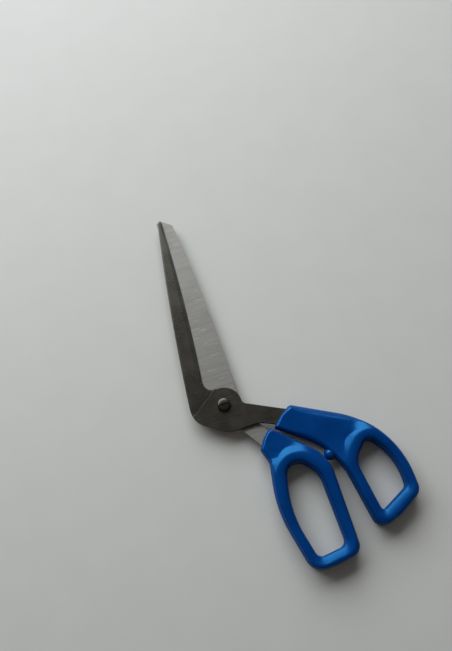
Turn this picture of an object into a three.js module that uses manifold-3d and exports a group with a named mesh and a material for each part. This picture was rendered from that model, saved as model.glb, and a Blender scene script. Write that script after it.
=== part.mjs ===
// Pizza scissors with offset handles, closed, lying on one side.
// Millimetres. The origin is on the pivot axis at the table, +Y runs to the blade tips,
// +X to the side where the handles stand off, and +Z up out of the table.

import * as THREE from 'three';
import { mergeVertices } from 'three/addons/utils/BufferGeometryUtils.js';
import Module from 'manifold-3d';

// Clearances
const SEAT_GAP = 0.3; // between pieces that are fixed to each other
const BLADE_GAP = 0.3; // between the inner faces of the two blades
const PIVOT_GAP = 0.15; // round the pivot screw, in the blade that turns on it

// Blades, stamped from one plate each and ground on the outer side of the cutting edge
const BLADE_THICKNESS = 2.2;
const EDGE_LAND = 0.3; // thickness left at the cutting edge
const BEVEL_WIDTH = 3.6; // ground strip along the cutting edge
const BEVEL_SHARE = 0.45; // the most of the blade's own width that the grind takes, near its ends
const EDGE_BREAK = 0.35; // chamfer round the rest of the outer face
const BLADE_REACH = 137; // pivot to the tips
const EDGE_HEEL = 19; // pivot to the heel end of the cutting edges
const LOBE_RADIUS = 11.6; // round boss of each blade about the pivot

// Narrow blade, which slides under the crust
const NARROW_EDGE_HEEL_X = -8.5; // cutting edge at its heel
const NARROW_EDGE_TIP_X = 0.4; // cutting edge at the tip
const NARROW_EDGE_BELLY = 1.4; // how far the cutting edge bows out of its chord
const NARROW_TIP_WIDTH = 2.8;
const NARROW_TIP_DROP = 1.4; // how far the spine corner of the tip lies behind the point
const NARROW_SPINE_X = -22.6; // spine at the heel of the blade
const NARROW_SPINE_BOW = 1.7; // how far the spine bows out of its chord
const NARROW_HEEL_Y = -4.5; // corner behind the pivot where the spine turns to the shank
const NARROW_HEEL_RADIUS = 14;
const NARROW_BELLY_X = -2.5; // lowest corner under the pivot
const NARROW_BELLY_Y = -18;
const CHOIL_RADIUS = 6; // hollow between the cutting edge and the boss
const CHOIL_RISE = 1; // how far the hollow's corner stands above the boss
const GRIND_HEEL = 3; // where the ground face starts, along the spine from its heel corner
const GRIND_START = 2.2; // and at the choil, from the top of the boss
const GRIND_SLOPE = 0.12; // fall of the ground face towards the cutting edge, per mm
const GRIND_LEAST = 0.75; // least thickness that it leaves
const GRIND_FOOT = 0.1; // share of the face's width in which the grind runs out at the slanted line
const SPINE_LAND = 1; // strip left along the spine beside the ground face
const GRIND_TIP_SHARE = 0.985; // the ground face ends this far along the spine
const NARROW_POINT_RADIUS = 0.7; // rounding of the point
const NARROW_TIP_THICKNESS = 0.9; // the ground end of the plate thins to this
const NARROW_BEVEL = 1.5; // last, steeper strip of the grind along the cutting edge

// Wide blade, which presses down from above
const EDGE_OVERLAP = 3.6; // its edge lies this far behind the narrow blade's edge
const WIDE_TIP_X = 6.9; // spine corner of the blunt tip
const WIDE_TIP_DROP = 5.2; // how far that corner lies behind the point
const WIDE_SPINE_X = 11.4; // spine beside the pivot
const WIDE_SPINE_BOW = 1.3;
const WIDE_HEEL_Y = -6; // corner behind the pivot where the edge side turns to the shank
const TIP_RADIUS = 1.4;

// Shanks and tangs. Angles are in degrees from +X, and offsets are across the shank from the pivot.
const THUMB_SHANK_ANGLE = -27;
const THUMB_SHANK_OFFSET = -2.3;
const THUMB_SHANK_WIDTH = 11;
const THUMB_TANG_DEPTH = 30; // length inside the handle
const FINGER_SHANK_ANGLE = -57;
const FINGER_SHANK_OFFSET = -0.3;
const FINGER_SHANK_WIDTH = 10.6;
const FINGER_TANG_DEPTH = 14.8;
const TANG_END_RADIUS = 3;
const SHANK_BLEND_RADIUS = 20; // where a shank grows out of its blade
const NECK_RADIUS = 3.5; // between the narrow blade's boss and its shank
const ANCHOR_DIAMETER = 5; // hole in each tang that the handle's plastic fills
const ANCHOR_FROM_END = 5.5;

// Handles, one moulding each
const HANDLE_THICKNESS = 14;
const EDGE_ROUND = 1.8; // rounding of the outer edges, seen from above
const EDGE_RISE = 3.7; // rounding of the outer edges, seen from the side
const BACK_ROUND = 7; // broader rounding in the middle of the thumb handle's back
const BACK_REACH = 26; // how far that runs out to each side
const BACK_MIDDLE = 1 / 3; // where that middle lies, from the front corner to the corner over the loop
const LIP_FRONT = 3.5; // bevel from the wall of a hole up to the crest of the loop, at the front of the hole
const LIP_END = 4.8; // and at its end
const LIP_RISE = 5; // height of the bevel and its rounding
const LIP_SHARE = 0.9; // the most of a narrow bar's width that the bevel takes
const LIP_SLOPE = 0.38; // fall of the bevel for its width
const NOSE_FRONT = 0.8; // share of the bevel that is rounded down into the hole, at the front of the hole
const NOSE_END = 0.2; // and at its end
const CREST_FLAT = 1.2; // flat on the crest
const LOOP_REACH = 13; // from a hole to the hollow line where its loop rises out of the front block
const LOOP_LEAST = 0.8; // and the least that the bars beside a hole leave of it
const BLOCK_DROP = 2.3; // the faces of a front block lie this far below the crest
const CREST_SHARE = 0.3; // share of the slope down to the block that is rounded, next to the crest
const FLAT_LAND = 0.3; // strip left between the two roundings of a bar
const LOOP_CORNER = 7; // outer corners at the ends of the loops
const FRONT_BOW = 1; // how far a front face bulges
const FRONT_BOW_RADIUS = 14;

// Finger loop. Each bar has its widths where it starts and ends, anticlockwise round the hole.
const FINGER_FRONT_ANGLE = -40.8; // direction from the pivot square to the front face
const FINGER_FRONT_DISTANCE = 32.3;
const FINGER_FRONT_CORNER = 3.5; // front corner beside the thumb handle
const FINGER_HOLE_X = 30.25;
const FINGER_HOLE_Y = -79.25;
const FINGER_HOLE_WIDTH = 25.9;
const FINGER_HOLE_LENGTH = 58.5;
const FINGER_OUTER_BAR = [9.9, 8.1];
const FINGER_BOW_BAR = [6.6, 7];
const FINGER_END_BAR = [7.1, 7.5];
const FINGER_PALM_BAR = [7.5, 9];
const FINGER_SHOULDER_BAR = [12.2, 11.2];
const FINGER_BLOCK_WIDTH = 15.5; // along the front face
const FINGER_BLOCK_CORNER = 2.7; // front corner away from the thumb handle
const FINGER_HEEL_DEPTH = 8.3; // front block's side, before it hollows into the loop
const FINGER_TAIL_CORNER = 10.5; // where the outer side turns into the end
const FINGER_END_BOW = 1;
const FINGER_SHOULDER_RADIUS = 26; // where the loop turns back from the front block
const FINGER_BOW_RADIUS = 80; // outer side of the loop

// Thumb loop
const THUMB_FRONT_ANGLE = -52.5;
const THUMB_FRONT_DISTANCE = 34.8;
const THUMB_HOLE_X = 80;
const THUMB_HOLE_Y = -71.9;
const THUMB_HOLE_WIDTH = 25.6;
const THUMB_HOLE_LENGTH = 46.2;
const THUMB_INNER_BAR = [7.8, 7.3];
const THUMB_END_BAR = [7.2, 8.1];
const THUMB_OUTER_BAR = [7.2, 5.6];
const THUMB_BLOCK_WIDTH = 18; // along the front face
const THUMB_BLOCK_CORNER = 3;
const THUMB_BELLY_CORNER = 1.2; // front corner beside the finger handle
const THUMB_BACK_ANGLE = -28.5; // top side of the front block
const THUMB_BELLY_ANGLE = -38; // lower side of the front block, beside the finger handle
const THUMB_BACK_RADIUS = 60;
const THUMB_BELLY_RADIUS = 50;
const THUMB_END_BOW = 2.2;
const END_BOW_RADIUS = 40; // both loops
const CLOSED_GAP = 1.2; // between the two front blocks when closed
const STOP_DIAMETER = 8; // stop on the thumb handle that meets the finger handle

// Pivot
const SCREW_DIAMETER = 5.6;
const SCREW_HEAD_DIAMETER = 8.8;
const SCREW_HEAD_RIM = 1.1; // straight side of the head
const SCREW_HEAD_DOME = 1.3; // rise of the head above that side
const SLOT_WIDTH = 1.2;
const SLOT_DEPTH = 1.3;
const NUT_ACROSS_FLATS = 9;
const NUT_HEIGHT = 3.2;
const NUT_CHAMFER = 0.7;
const WASHER_DIAMETER = 12;
const WASHER_THICKNESS = 0.5;
const WASHER_DISH = 0.4; // rise of the dished washer from its bore to its rim

// Facets
const ARC_STEP = THREE.MathUtils.degToRad(9);
const ROUND_STEPS = 4; // facets over each rounded edge of a handle
const SLOPE_STEPS = 3; // facets from the crest of a loop down to the front block
const SIDE_STEP = 5; // longest facet along the side of a handle
const SAME_PLACE = 1e-3; // points of an outline closer than this are one
const WELD = 1e-5; // corners of facets closer than this are one
const EDGE_STEPS = 14; // facets along a cutting edge
const TURNED_SIDES = 40; // facets round screw, bores and washer

// Cutting tools reach this far past what they cut
const CUT_MARGIN = 1;

// Heights above the table, stacked on the nut
const WASHER_Z = NUT_HEIGHT + SEAT_GAP;
const WIDE_OUTER_Z = WASHER_Z + WASHER_THICKNESS + WASHER_DISH + SEAT_GAP;
const WIDE_INNER_Z = WIDE_OUTER_Z + BLADE_THICKNESS;
const NARROW_INNER_Z = WIDE_INNER_Z + BLADE_GAP;
const NARROW_OUTER_Z = NARROW_INNER_Z + BLADE_THICKNESS;
const SCREW_HEAD_Z = NARROW_OUTER_Z + SEAT_GAP;

const wasm = await Module();
wasm.setup();

// Plane geometry of the outlines

function point(x, y) {
  return new THREE.Vector2(x, y);
}

function corner(place, radius) {
  return { place, radius };
}

function heading(degrees) {
  const angle = THREE.MathUtils.degToRad(degrees);
  return point(Math.cos(angle), Math.sin(angle));
}

function leftOf(direction) {
  return point(-direction.y, direction.x);
}

function walk(from, direction, distance) {
  return from.clone().addScaledVector(direction, distance);
}

// Where the line from a along u meets the line from b along v.
function meet(a, u, b, v) {
  const gap = b.clone().sub(a);
  return walk(a, u, gap.cross(v) / u.cross(v));
}

// How far before and behind each corner its rounding starts, kept within the sides it joins.
function roundingRuns(corners, closed) {
  const count = corners.length;
  const inside = (i) => closed || (i > 0 && i < count - 1);
  const runs = corners.map(({ place, radius }, i) => {
    if (!inside(i)) return 0;
    const back = corners[(i + count - 1) % count].place.clone().sub(place);
    const ahead = corners[(i + 1) % count].place.clone().sub(place);
    const between = Math.acos(THREE.MathUtils.clamp(back.dot(ahead) / back.length() / ahead.length(), -1, 1));
    return radius / Math.tan(between / 2);
  });
  return runs.map((run, i) => {
    if (run === 0) return 0;
    const shares = [i - 1, i + 1].map((k) => {
      const other = (k + count) % count;
      const side = corners[other].place.distanceTo(corners[i].place);
      return Math.min(1, side / (run + runs[other]));
    });
    return run * Math.min(...shares);
  });
}

// The points of an outline whose corners are rounded by arcs.
function rounded(corners, closed = true) {
  const count = corners.length;
  const runs = roundingRuns(corners, closed);
  const points = corners.flatMap(({ place }, i) => {
    if (runs[i] === 0) return [place.clone()];
    const back = corners[(i + count - 1) % count].place.clone().sub(place).normalize();
    const ahead = corners[(i + 1) % count].place.clone().sub(place).normalize();
    const turn = Math.PI - Math.acos(THREE.MathUtils.clamp(back.dot(ahead), -1, 1));
    const radius = runs[i] / Math.tan(turn / 2);
    const side = Math.sign(ahead.cross(back));
    const start = walk(place, back, runs[i]);
    const centre = walk(start, leftOf(back), -radius * side);
    const steps = Math.max(1, Math.ceil(turn / ARC_STEP));
    return Array.from({ length: steps + 1 }, (_, k) => {
      return start.clone().rotateAround(centre, (side * turn * k) / steps);
    });
  });
  return points.filter((place, i) => {
    const starts = i === 0 && !closed;
    return starts || place.distanceTo(points.at(i - 1)) > SAME_PLACE;
  });
}

// The points of a closed outline, with more between those that are far apart.
function closely(outline) {
  return outline.flatMap((start, i) => {
    const end = outline[(i + 1) % outline.length];
    const steps = Math.ceil(start.distanceTo(end) / SIDE_STEP);
    return Array.from({ length: steps }, (_, k) => start.clone().lerp(end, k / steps));
  });
}

// Moves each point of a closed outline to its left: inwards where the outline runs anticlockwise.
function inset(outline, amounts) {
  const count = outline.length;
  return outline.map((place, i) => {
    const before = place.clone().sub(outline[(i + count - 1) % count]).normalize();
    const after = outline[(i + 1) % count].clone().sub(place).normalize();
    const left = leftOf(before).add(leftOf(after)).normalize();
    return walk(place, left, amounts[i] / left.dot(leftOf(after)));
  });
}

function nearestOnOutline(place, outline, closed = true) {
  const ends = closed ? [...outline.slice(1), outline[0]] : outline.slice(1);
  let best = outline[0];
  ends.forEach((end, i) => {
    const start = outline[i];
    const along = end.clone().sub(start);
    const share = THREE.MathUtils.clamp(place.clone().sub(start).dot(along) / along.lengthSq(), 0, 1);
    const foot = walk(start, along, share);
    if (foot.distanceTo(place) < best.distanceTo(place)) best = foot;
  });
  return best;
}

// Solids

// Turns the side that two triangles share, wherever the other diagonal of the pair is shorter.
function shortenDiagonals(triangles, places) {
  const area = (a, b, c) => {
    const across = places[b].clone().sub(places[a]);
    return across.cross(places[c].clone().sub(places[a]));
  };
  const span = (a, b) => places[a].distanceTo(places[b]);
  const turnOne = () => {
    const sides = new Map();
    for (const triangle of triangles) {
      for (let k = 0; k < 3; k++) {
        const [a, b, c] = [triangle[k], triangle[(k + 1) % 3], triangle[(k + 2) % 3]];
        const twin = sides.get(`${b} ${a}`);
        const d = twin?.apex;
        const shorter = twin && span(c, d) < span(a, b) - SAME_PLACE;
        if (shorter && area(a, d, c) > SAME_PLACE && area(d, b, c) > SAME_PLACE) {
          triangle.splice(0, 3, a, d, c);
          twin.triangle.splice(0, 3, d, b, c);
          return true;
        }
        sides.set(`${a} ${b}`, { triangle, apex: c });
      }
    }
    return false;
  };
  let turning = true;
  while (turning) {
    turning = turnOne();
  }
  return triangles;
}

// A closed solid from rings of one outline, listed from the bottom up, with an optional hole.
function solidFromRings(outer, hole = []) {
  const positions = [];
  const faces = [];
  const ringStart = (ring) => {
    const start = positions.length / 3;
    ring.outline.forEach((place, i) => positions.push(place.x, place.y, ring.heights[i]));
    return start;
  };
  const wall = (starts, count, facesOut) => {
    for (let level = 1; level < starts.length; level += 1) {
      for (let i = 0; i < count; i += 1) {
        const next = (i + 1) % count;
        const [a, b] = [starts[level - 1] + i, starts[level - 1] + next];
        const [c, d] = [starts[level] + next, starts[level] + i];
        if (facesOut) faces.push([a, b, c], [a, c, d]);
        else faces.push([a, c, b], [a, d, c]);
      }
    }
  };
  const outerStarts = outer.map(ringStart);
  const holeStarts = hole.map(ringStart);
  wall(outerStarts, outer[0].outline.length, true);
  if (hole.length) wall(holeStarts, hole[0].outline.length, false);
  const corners = (ring, start) => ring.outline.map((place, i) => ({ place, index: start + i }));
  const cap = (level, upwards) => {
    const loops = [corners(outer.at(level), outerStarts.at(level))];
    if (hole.length) loops.push(corners(hole.at(level), holeStarts.at(level)).reverse());
    const index = loops.flat().map((one) => one.index);
    const places = loops.flat().map((one) => one.place);
    const flat = loops.map((loop) => loop.map(({ place }) => [place.x, place.y]));
    const triangles = wasm.triangulate(flat).map((triangle) => [...triangle]);
    shortenDiagonals(triangles, places).forEach((triangle) => {
      const [a, b, c] = triangle.map((k) => index[k]);
      faces.push(upwards ? [a, b, c] : [a, c, b]);
    });
  };
  cap(0, false);
  cap(-1, true);
  const geometry = new THREE.BufferGeometry();
  geometry.setAttribute('position', new THREE.Float32BufferAttribute(positions, 3));
  geometry.setIndex(faces.flat());
  return toSolid(geometry);
}

function toSolid(geometry) {
  const bare = geometry.clone();
  bare.deleteAttribute('normal');
  bare.deleteAttribute('uv');
  const merged = mergeVertices(bare, WELD);
  const vertProperties = Float32Array.from(merged.attributes.position.array);
  const triVerts = Uint32Array.from(merged.index.array);
  return new wasm.Manifold(new wasm.Mesh({ numProp: 3, vertProperties, triVerts }));
}

function toGeometry(solid) {
  const { vertProperties, triVerts } = solid.getMesh();
  const geometry = new THREE.BufferGeometry();
  geometry.setAttribute('position', new THREE.BufferAttribute(vertProperties, 3));
  geometry.setIndex(new THREE.BufferAttribute(triVerts, 1));
  geometry.computeVertexNormals();
  return geometry;
}

// A round bar along Z between two heights.
function pin(radius, bottom, top, place = point(0, 0)) {
  const geometry = new THREE.CylinderGeometry(radius, radius, top - bottom, TURNED_SIDES);
  geometry.rotateX(Math.PI / 2);
  geometry.translate(place.x, place.y, (bottom + top) / 2);
  return toSolid(geometry);
}

// A solid of revolution about the pivot, from radius and height pairs that start and end on the axis
// or close on themselves.
function turned(profile) {
  const geometry = new THREE.LatheGeometry(profile.map(([r, z]) => point(r, z)), TURNED_SIDES);
  geometry.rotateX(Math.PI / 2);
  return toSolid(geometry);
}

// Shanks: each runs straight from beside the pivot, through the handle's front face, to the tang's end.

function frontFace(angle, distance) {
  const inwards = heading(angle);
  return { from: walk(point(0, 0), inwards, distance), along: leftOf(inwards), inwards };
}

const fingerFront = frontFace(FINGER_FRONT_ANGLE, FINGER_FRONT_DISTANCE);
const thumbFront = frontFace(THUMB_FRONT_ANGLE, THUMB_FRONT_DISTANCE);

function shank(front, angle, offset, width, tangDepth) {
  const along = heading(angle);
  const axis = walk(point(0, 0), leftOf(along), offset);
  const entry = meet(axis, along, front.from, front.along);
  const tangEnd = entry.distanceTo(axis) + tangDepth;
  // The point at a distance along the shank, and across it from its middle.
  const at = (run, across) => walk(walk(axis, along, run), leftOf(along), across);
  return { along, width, tangEnd, at, anchor: at(tangEnd - ANCHOR_FROM_END, 0) };
}

const thumbShank = shank(
  thumbFront, THUMB_SHANK_ANGLE, THUMB_SHANK_OFFSET, THUMB_SHANK_WIDTH, THUMB_TANG_DEPTH,
);
const fingerShank = shank(
  fingerFront, FINGER_SHANK_ANGLE, FINGER_SHANK_OFFSET, FINGER_SHANK_WIDTH, FINGER_TANG_DEPTH,
);

function tangCorners({ at, width, tangEnd }) {
  return [
    corner(at(tangEnd, -width / 2), TANG_END_RADIUS),
    corner(at(tangEnd, width / 2), TANG_END_RADIUS),
  ];
}

// The room that a tang takes in its handle, with the post of plastic that fills its anchor hole left out.
function tangPocket({ at, width, tangEnd, anchor }, bottom) {
  const side = width / 2 + SEAT_GAP;
  const end = tangEnd + SEAT_GAP;
  const outline = rounded([
    corner(at(0, -side), 0),
    corner(at(end, -side), TANG_END_RADIUS + SEAT_GAP),
    corner(at(end, side), TANG_END_RADIUS + SEAT_GAP),
    corner(at(0, side), 0),
  ]);
  const low = bottom - SEAT_GAP;
  const high = bottom + BLADE_THICKNESS + SEAT_GAP;
  const straight = { depth: high - low, bevelEnabled: false };
  const geometry = new THREE.ExtrudeGeometry(new THREE.Shape(outline), straight);
  geometry.translate(0, 0, low);
  const post = pin(ANCHOR_DIAMETER / 2 - SEAT_GAP, low - CUT_MARGIN, high + CUT_MARGIN, anchor);
  return toSolid(geometry).subtract(post);
}

// Blades

// A quadratic curve that leaves its chord by the given bow, to the left of its run.
function bowed(start, end, bow) {
  const middle = start.clone().lerp(end, 0.5);
  const side = leftOf(end.clone().sub(start).normalize());
  return new THREE.QuadraticBezierCurve(start, walk(middle, side, 2 * bow), end).getPoints(EDGE_STEPS);
}

// A flat plate that is ground on the outer side, down to its cutting edge. The levels hold the points
// and thicknesses of the ground part, from the cutting edge up to where the grind starts.
// The inner face lies at innerZ, and outwards is +1 or -1 for the side the grind is on.
function groundPlate({ back, levels, thickness, innerZ, outwards }) {
  const outline = [...back, ...levels[0].outline];
  const upper = levels.map((level, k) => {
    const angle = ((k / (levels.length - 1)) * Math.PI) / 2;
    const broken = inset(outline, outline.map(() => EDGE_BREAK * (1 - Math.cos(angle))));
    const sides = back.map((place) => thickness(place) - EDGE_BREAK * (1 - Math.sin(angle)));
    return {
      outline: [...broken.slice(0, back.length), ...level.outline],
      heights: [...sides, ...level.heights],
    };
  });
  const rings = [{ outline, heights: outline.map(() => 0) }, ...upper].map((ring) => {
    return { outline: ring.outline, heights: ring.heights.map((height) => innerZ + outwards * height) };
  });
  return solidFromRings(outwards > 0 ? rings : rings.reverse());
}

// The points of an edge moved into the plate by the given widths.
function besideEdge(back, edge, widths) {
  return inset([...back, ...edge], [...back.map(() => 0), ...widths]).slice(back.length);
}

// How wide a bevel can be at each point of an edge, up to the given width.
function bevelWidths(back, edge, most) {
  return edge.map((place) => {
    const width = nearestOnOutline(place, back, false).distanceTo(place);
    return THREE.MathUtils.clamp(BEVEL_SHARE * width, EDGE_BREAK, most);
  });
}

// The point at a share of the way along a run of points.
function along(points, share) {
  const gaps = points.slice(1).map((place, i) => place.distanceTo(points[i]));
  let left = share * gaps.reduce((sum, gap) => sum + gap, 0);
  const i = gaps.findIndex((gap) => {
    left -= gap;
    return left <= 0;
  });
  if (i < 0) return points.at(-1).clone();
  return points[i + 1].clone().lerp(points[i], -left / gaps[i]);
}

const narrowTip = point(NARROW_EDGE_TIP_X, BLADE_REACH - TIP_RADIUS);
const narrowEdgeHeel = point(NARROW_EDGE_HEEL_X, EDGE_HEEL);

// The grind takes the narrow blade's whole face. It starts at a slanted line between the boss and the
// spine's heel, runs up beside the spine, thins the blade towards its tip, and ends in a steeper strip
// along the cutting edge.
function narrowBlade() {
  const cutting = bowed(narrowEdgeHeel, narrowTip, -NARROW_EDGE_BELLY);
  const spineTip = point(NARROW_EDGE_TIP_X - NARROW_TIP_WIDTH, BLADE_REACH - NARROW_TIP_DROP);
  const spineHeel = point(NARROW_SPINE_X, NARROW_HEEL_Y);
  const spine = bowed(spineTip, spineHeel, -NARROW_SPINE_BOW);
  const half = thumbShank.width / 2;
  const shankStart = meet(
    point(NARROW_BELLY_X, NARROW_BELLY_Y), point(1, 0), thumbShank.at(0, -half), thumbShank.along,
  );
  const neck = meet(point(LOBE_RADIUS, 0), point(0, 1), thumbShank.at(0, half), thumbShank.along);
  const bossTop = point(0, LOBE_RADIUS);
  const choilCorner = point(NARROW_EDGE_HEEL_X, LOBE_RADIUS + CHOIL_RISE);
  const grindStart = walk(bossTop, choilCorner.clone().sub(bossTop).normalize(), GRIND_START);
  const back = rounded([
    corner(narrowTip, 0),
    corner(point(NARROW_EDGE_TIP_X - NARROW_POINT_RADIUS, BLADE_REACH), NARROW_POINT_RADIUS),
    corner(spineTip, TIP_RADIUS),
    ...spine.slice(1, -1).map((place) => corner(place, 0)),
    corner(spineHeel, NARROW_HEEL_RADIUS),
    corner(point(NARROW_BELLY_X, NARROW_BELLY_Y), NARROW_HEEL_RADIUS),
    corner(shankStart, SHANK_BLEND_RADIUS),
    ...tangCorners(thumbShank),
    corner(neck, NECK_RADIUS),
    corner(point(LOBE_RADIUS, LOBE_RADIUS), LOBE_RADIUS),
    corner(bossTop, 0),
    corner(grindStart, 0),
  ], false);
  const choil = rounded([
    corner(grindStart, 0),
    corner(choilCorner, CHOIL_RADIUS),
    corner(narrowEdgeHeel, 0),
  ], false);
  const spineSide = leftOf(spineHeel.clone().sub(spineTip).normalize());
  const besideSpine = spine.map((place) => walk(place, spineSide, SPINE_LAND)).reverse();
  const heelRun = besideSpine.at(-1).clone().sub(besideSpine[0]).normalize();
  const grindHeel = walk(besideSpine[0], heelRun, GRIND_HEEL);
  const grindLine = [grindStart, grindHeel];
  const footLine = [choil[1], grindHeel.clone().lerp(narrowEdgeHeel, GRIND_FOOT)];
  const grindSide = [grindHeel, ...besideSpine.filter((place) => place.y > grindHeel.y)];
  const choilShares = choil.slice(1).map((_, i) => (i + 1) / (choil.length - 1));
  const edgeShares = cutting.slice(1).map((_, i) => (i + 1) / (cutting.length - 1));
  const across = leftOf(grindStart.clone().sub(grindHeel).normalize());
  const beyondLine = (place) => place.clone().sub(grindStart).dot(across);
  const thickness = (place) => {
    const share = THREE.MathUtils.clamp(beyondLine(place) / beyondLine(narrowTip), 0, 1);
    return THREE.MathUtils.lerp(BLADE_THICKNESS, NARROW_TIP_THICKNESS, share);
  };
  const ground = (place) => {
    const width = Math.max(0, place.clone().sub(spineTip).dot(spineSide) - SPINE_LAND);
    return Math.max(GRIND_LEAST, thickness(place) - GRIND_SLOPE * width);
  };
  const sides = back.slice(1);
  const edge = [...choil.slice(1), ...cutting.slice(1)];
  const keen = (i) => i >= choilShares.length - 1;
  const bevels = bevelWidths(sides, edge, NARROW_BEVEL).map((width, i) => (keen(i) ? width : EDGE_BREAK));
  const crest = besideEdge(sides, edge, bevels);
  const faces = crest.map(ground);
  const ridge = [
    ...choilShares.map((share) => along(grindLine, share)),
    ...edgeShares.map((share) => along(grindSide, share * GRIND_TIP_SHARE)),
  ];
  const foot = ridge.map((place, i) => {
    if (i < choilShares.length) return along(footLine, choilShares[i]);
    return place.clone().lerp(crest[i], GRIND_FOOT);
  });
  const plate = groundPlate({
    back: sides,
    levels: [
      { outline: edge, heights: faces.map((face, i) => (keen(i) ? EDGE_LAND : face - EDGE_BREAK)) },
      { outline: crest, heights: faces },
      { outline: foot, heights: foot.map(ground) },
      { outline: ridge, heights: ridge.map(thickness) },
    ],
    thickness,
    innerZ: NARROW_INNER_Z,
    outwards: 1,
  });
  const [low, high] = [NARROW_INNER_Z - CUT_MARGIN, NARROW_OUTER_Z + CUT_MARGIN];
  return plate
    .subtract(pin(SCREW_DIAMETER / 2 + PIVOT_GAP, low, high))
    .subtract(pin(ANCHOR_DIAMETER / 2, low, high, thumbShank.anchor));
}

function wideBlade() {
  const edgeTip = point(narrowTip.x - EDGE_OVERLAP, BLADE_REACH - NARROW_TIP_DROP);
  const edgeHeel = point(NARROW_EDGE_HEEL_X - EDGE_OVERLAP, EDGE_HEEL);
  const edge = bowed(edgeTip, edgeHeel, NARROW_EDGE_BELLY);
  const heel = point(-LOBE_RADIUS, WIDE_HEEL_Y);
  const half = fingerShank.width / 2;
  const spineHeel = meet(point(WIDE_SPINE_X, 0), point(0, 1), fingerShank.at(0, half), fingerShank.along);
  const spineTip = point(WIDE_TIP_X, BLADE_REACH - WIDE_TIP_DROP);
  const spine = bowed(point(WIDE_SPINE_X, EDGE_HEEL), spineTip, -WIDE_SPINE_BOW);
  const back = rounded([
    corner(edgeHeel, 0),
    corner(heel, LOBE_RADIUS),
    corner(fingerShank.at(LOBE_RADIUS + half, -half), SHANK_BLEND_RADIUS),
    ...tangCorners(fingerShank),
    corner(spineHeel, SHANK_BLEND_RADIUS),
    ...spine.slice(0, -1).map((place) => corner(place, 0)),
    corner(spineTip, TIP_RADIUS),
    corner(point(narrowTip.x, BLADE_REACH), TIP_RADIUS),
    corner(edgeTip, 0),
  ], false);
  const sides = back.slice(1, -1);
  const bevels = bevelWidths(sides, edge, BEVEL_WIDTH);
  const blunt = BLADE_THICKNESS - EDGE_BREAK;
  const plate = groundPlate({
    back: sides,
    levels: [
      {
        outline: edge,
        heights: bevels.map((width) => {
          return THREE.MathUtils.mapLinear(width, EDGE_BREAK, BEVEL_WIDTH, blunt, EDGE_LAND);
        }),
      },
      { outline: besideEdge(sides, edge, bevels), heights: edge.map(() => BLADE_THICKNESS) },
    ],
    thickness: () => BLADE_THICKNESS,
    innerZ: WIDE_INNER_Z,
    outwards: -1,
  });
  const [low, high] = [WIDE_OUTER_Z - CUT_MARGIN, WIDE_INNER_Z + CUT_MARGIN];
  return plate
    .subtract(pin(SCREW_DIAMETER / 2 + SEAT_GAP, low, high))
    .subtract(pin(ANCHOR_DIAMETER / 2, low, high, fingerShank.anchor));
}

// Handles

// Hole corners, as shares of half the hole's width and length from its middle, with radii in millimetres.
// They run anticlockwise from the corner nearest the pivot.
const FINGER_HOLE_CORNERS = [
  [-0.45, 1, 8],
  [-1, 0.09, 70],
  [-0.47, -1, 6.5],
  [1, -0.93, 4.5],
  [0.96, 0.66, 16],
  [0.29, 1, 9],
];
const THUMB_HOLE_CORNERS = [
  [-0.08, 1, 5.5],
  [-1, 0.49, 13],
  [-0.66, -1, 5],
  [0.87, -0.58, 4],
  [1, 0.26, 50],
];

function holeCorners(shape, x, y, width, length) {
  return shape.map(([across, along, radius]) => {
    return corner(point(x + (across * width) / 2, y + (along * length) / 2), radius);
  });
}

// The line of the side of a bar that lies beside the hole's side from corner i, with the bar's widths
// at both ends.
function barSide(hole, i, [startWidth, endWidth]) {
  const start = hole[i].place;
  const end = hole[(i + 1) % hole.length].place;
  const out = leftOf(end.clone().sub(start).normalize()).negate();
  const from = walk(start, out, startWidth);
  return { from, along: walk(end, out, endWidth).sub(from).normalize() };
}

// The corner that makes an outline's straight side bulge.
function bulge(start, end, bow, radius) {
  const out = leftOf(end.clone().sub(start).normalize()).negate();
  return corner(walk(start.clone().lerp(end, 0.5), out, bow), radius);
}

function meetSides(a, b) {
  return meet(a.from, a.along, b.from, b.along);
}

const fingerHole = holeCorners(
  FINGER_HOLE_CORNERS, FINGER_HOLE_X, FINGER_HOLE_Y, FINGER_HOLE_WIDTH, FINGER_HOLE_LENGTH,
);
const thumbHole = holeCorners(
  THUMB_HOLE_CORNERS, THUMB_HOLE_X, THUMB_HOLE_Y, THUMB_HOLE_WIDTH, THUMB_HOLE_LENGTH,
);

function fingerOutline() {
  const outer = barSide(fingerHole, 0, FINGER_OUTER_BAR);
  const bow = barSide(fingerHole, 1, FINGER_BOW_BAR);
  const end = barSide(fingerHole, 2, FINGER_END_BAR);
  const palm = barSide(fingerHole, 3, FINGER_PALM_BAR);
  const shoulder = barSide(fingerHole, 4, FINGER_SHOULDER_BAR);
  const inner = meetSides(shoulder, fingerFront);
  const blockEnd = walk(inner, fingerFront.along, -FINGER_BLOCK_WIDTH);
  const heelLine = {
    from: walk(fingerFront.from, fingerFront.inwards, FINGER_HEEL_DEPTH),
    along: fingerFront.along,
  };
  const tail = meetSides(bow, end);
  const endCorner = meetSides(end, palm);
  return [
    corner(inner, FINGER_FRONT_CORNER),
    bulge(inner, blockEnd, FRONT_BOW, FRONT_BOW_RADIUS),
    corner(blockEnd, FINGER_BLOCK_CORNER),
    corner(meetSides(outer, heelLine), LOOP_CORNER),
    corner(meetSides(outer, bow), FINGER_BOW_RADIUS),
    corner(tail, FINGER_TAIL_CORNER),
    bulge(tail, endCorner, FINGER_END_BOW, END_BOW_RADIUS),
    corner(endCorner, LOOP_CORNER),
    corner(meetSides(palm, shoulder), FINGER_SHOULDER_RADIUS),
  ];
}

const fingerSide = closely(rounded(fingerOutline()));

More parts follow.
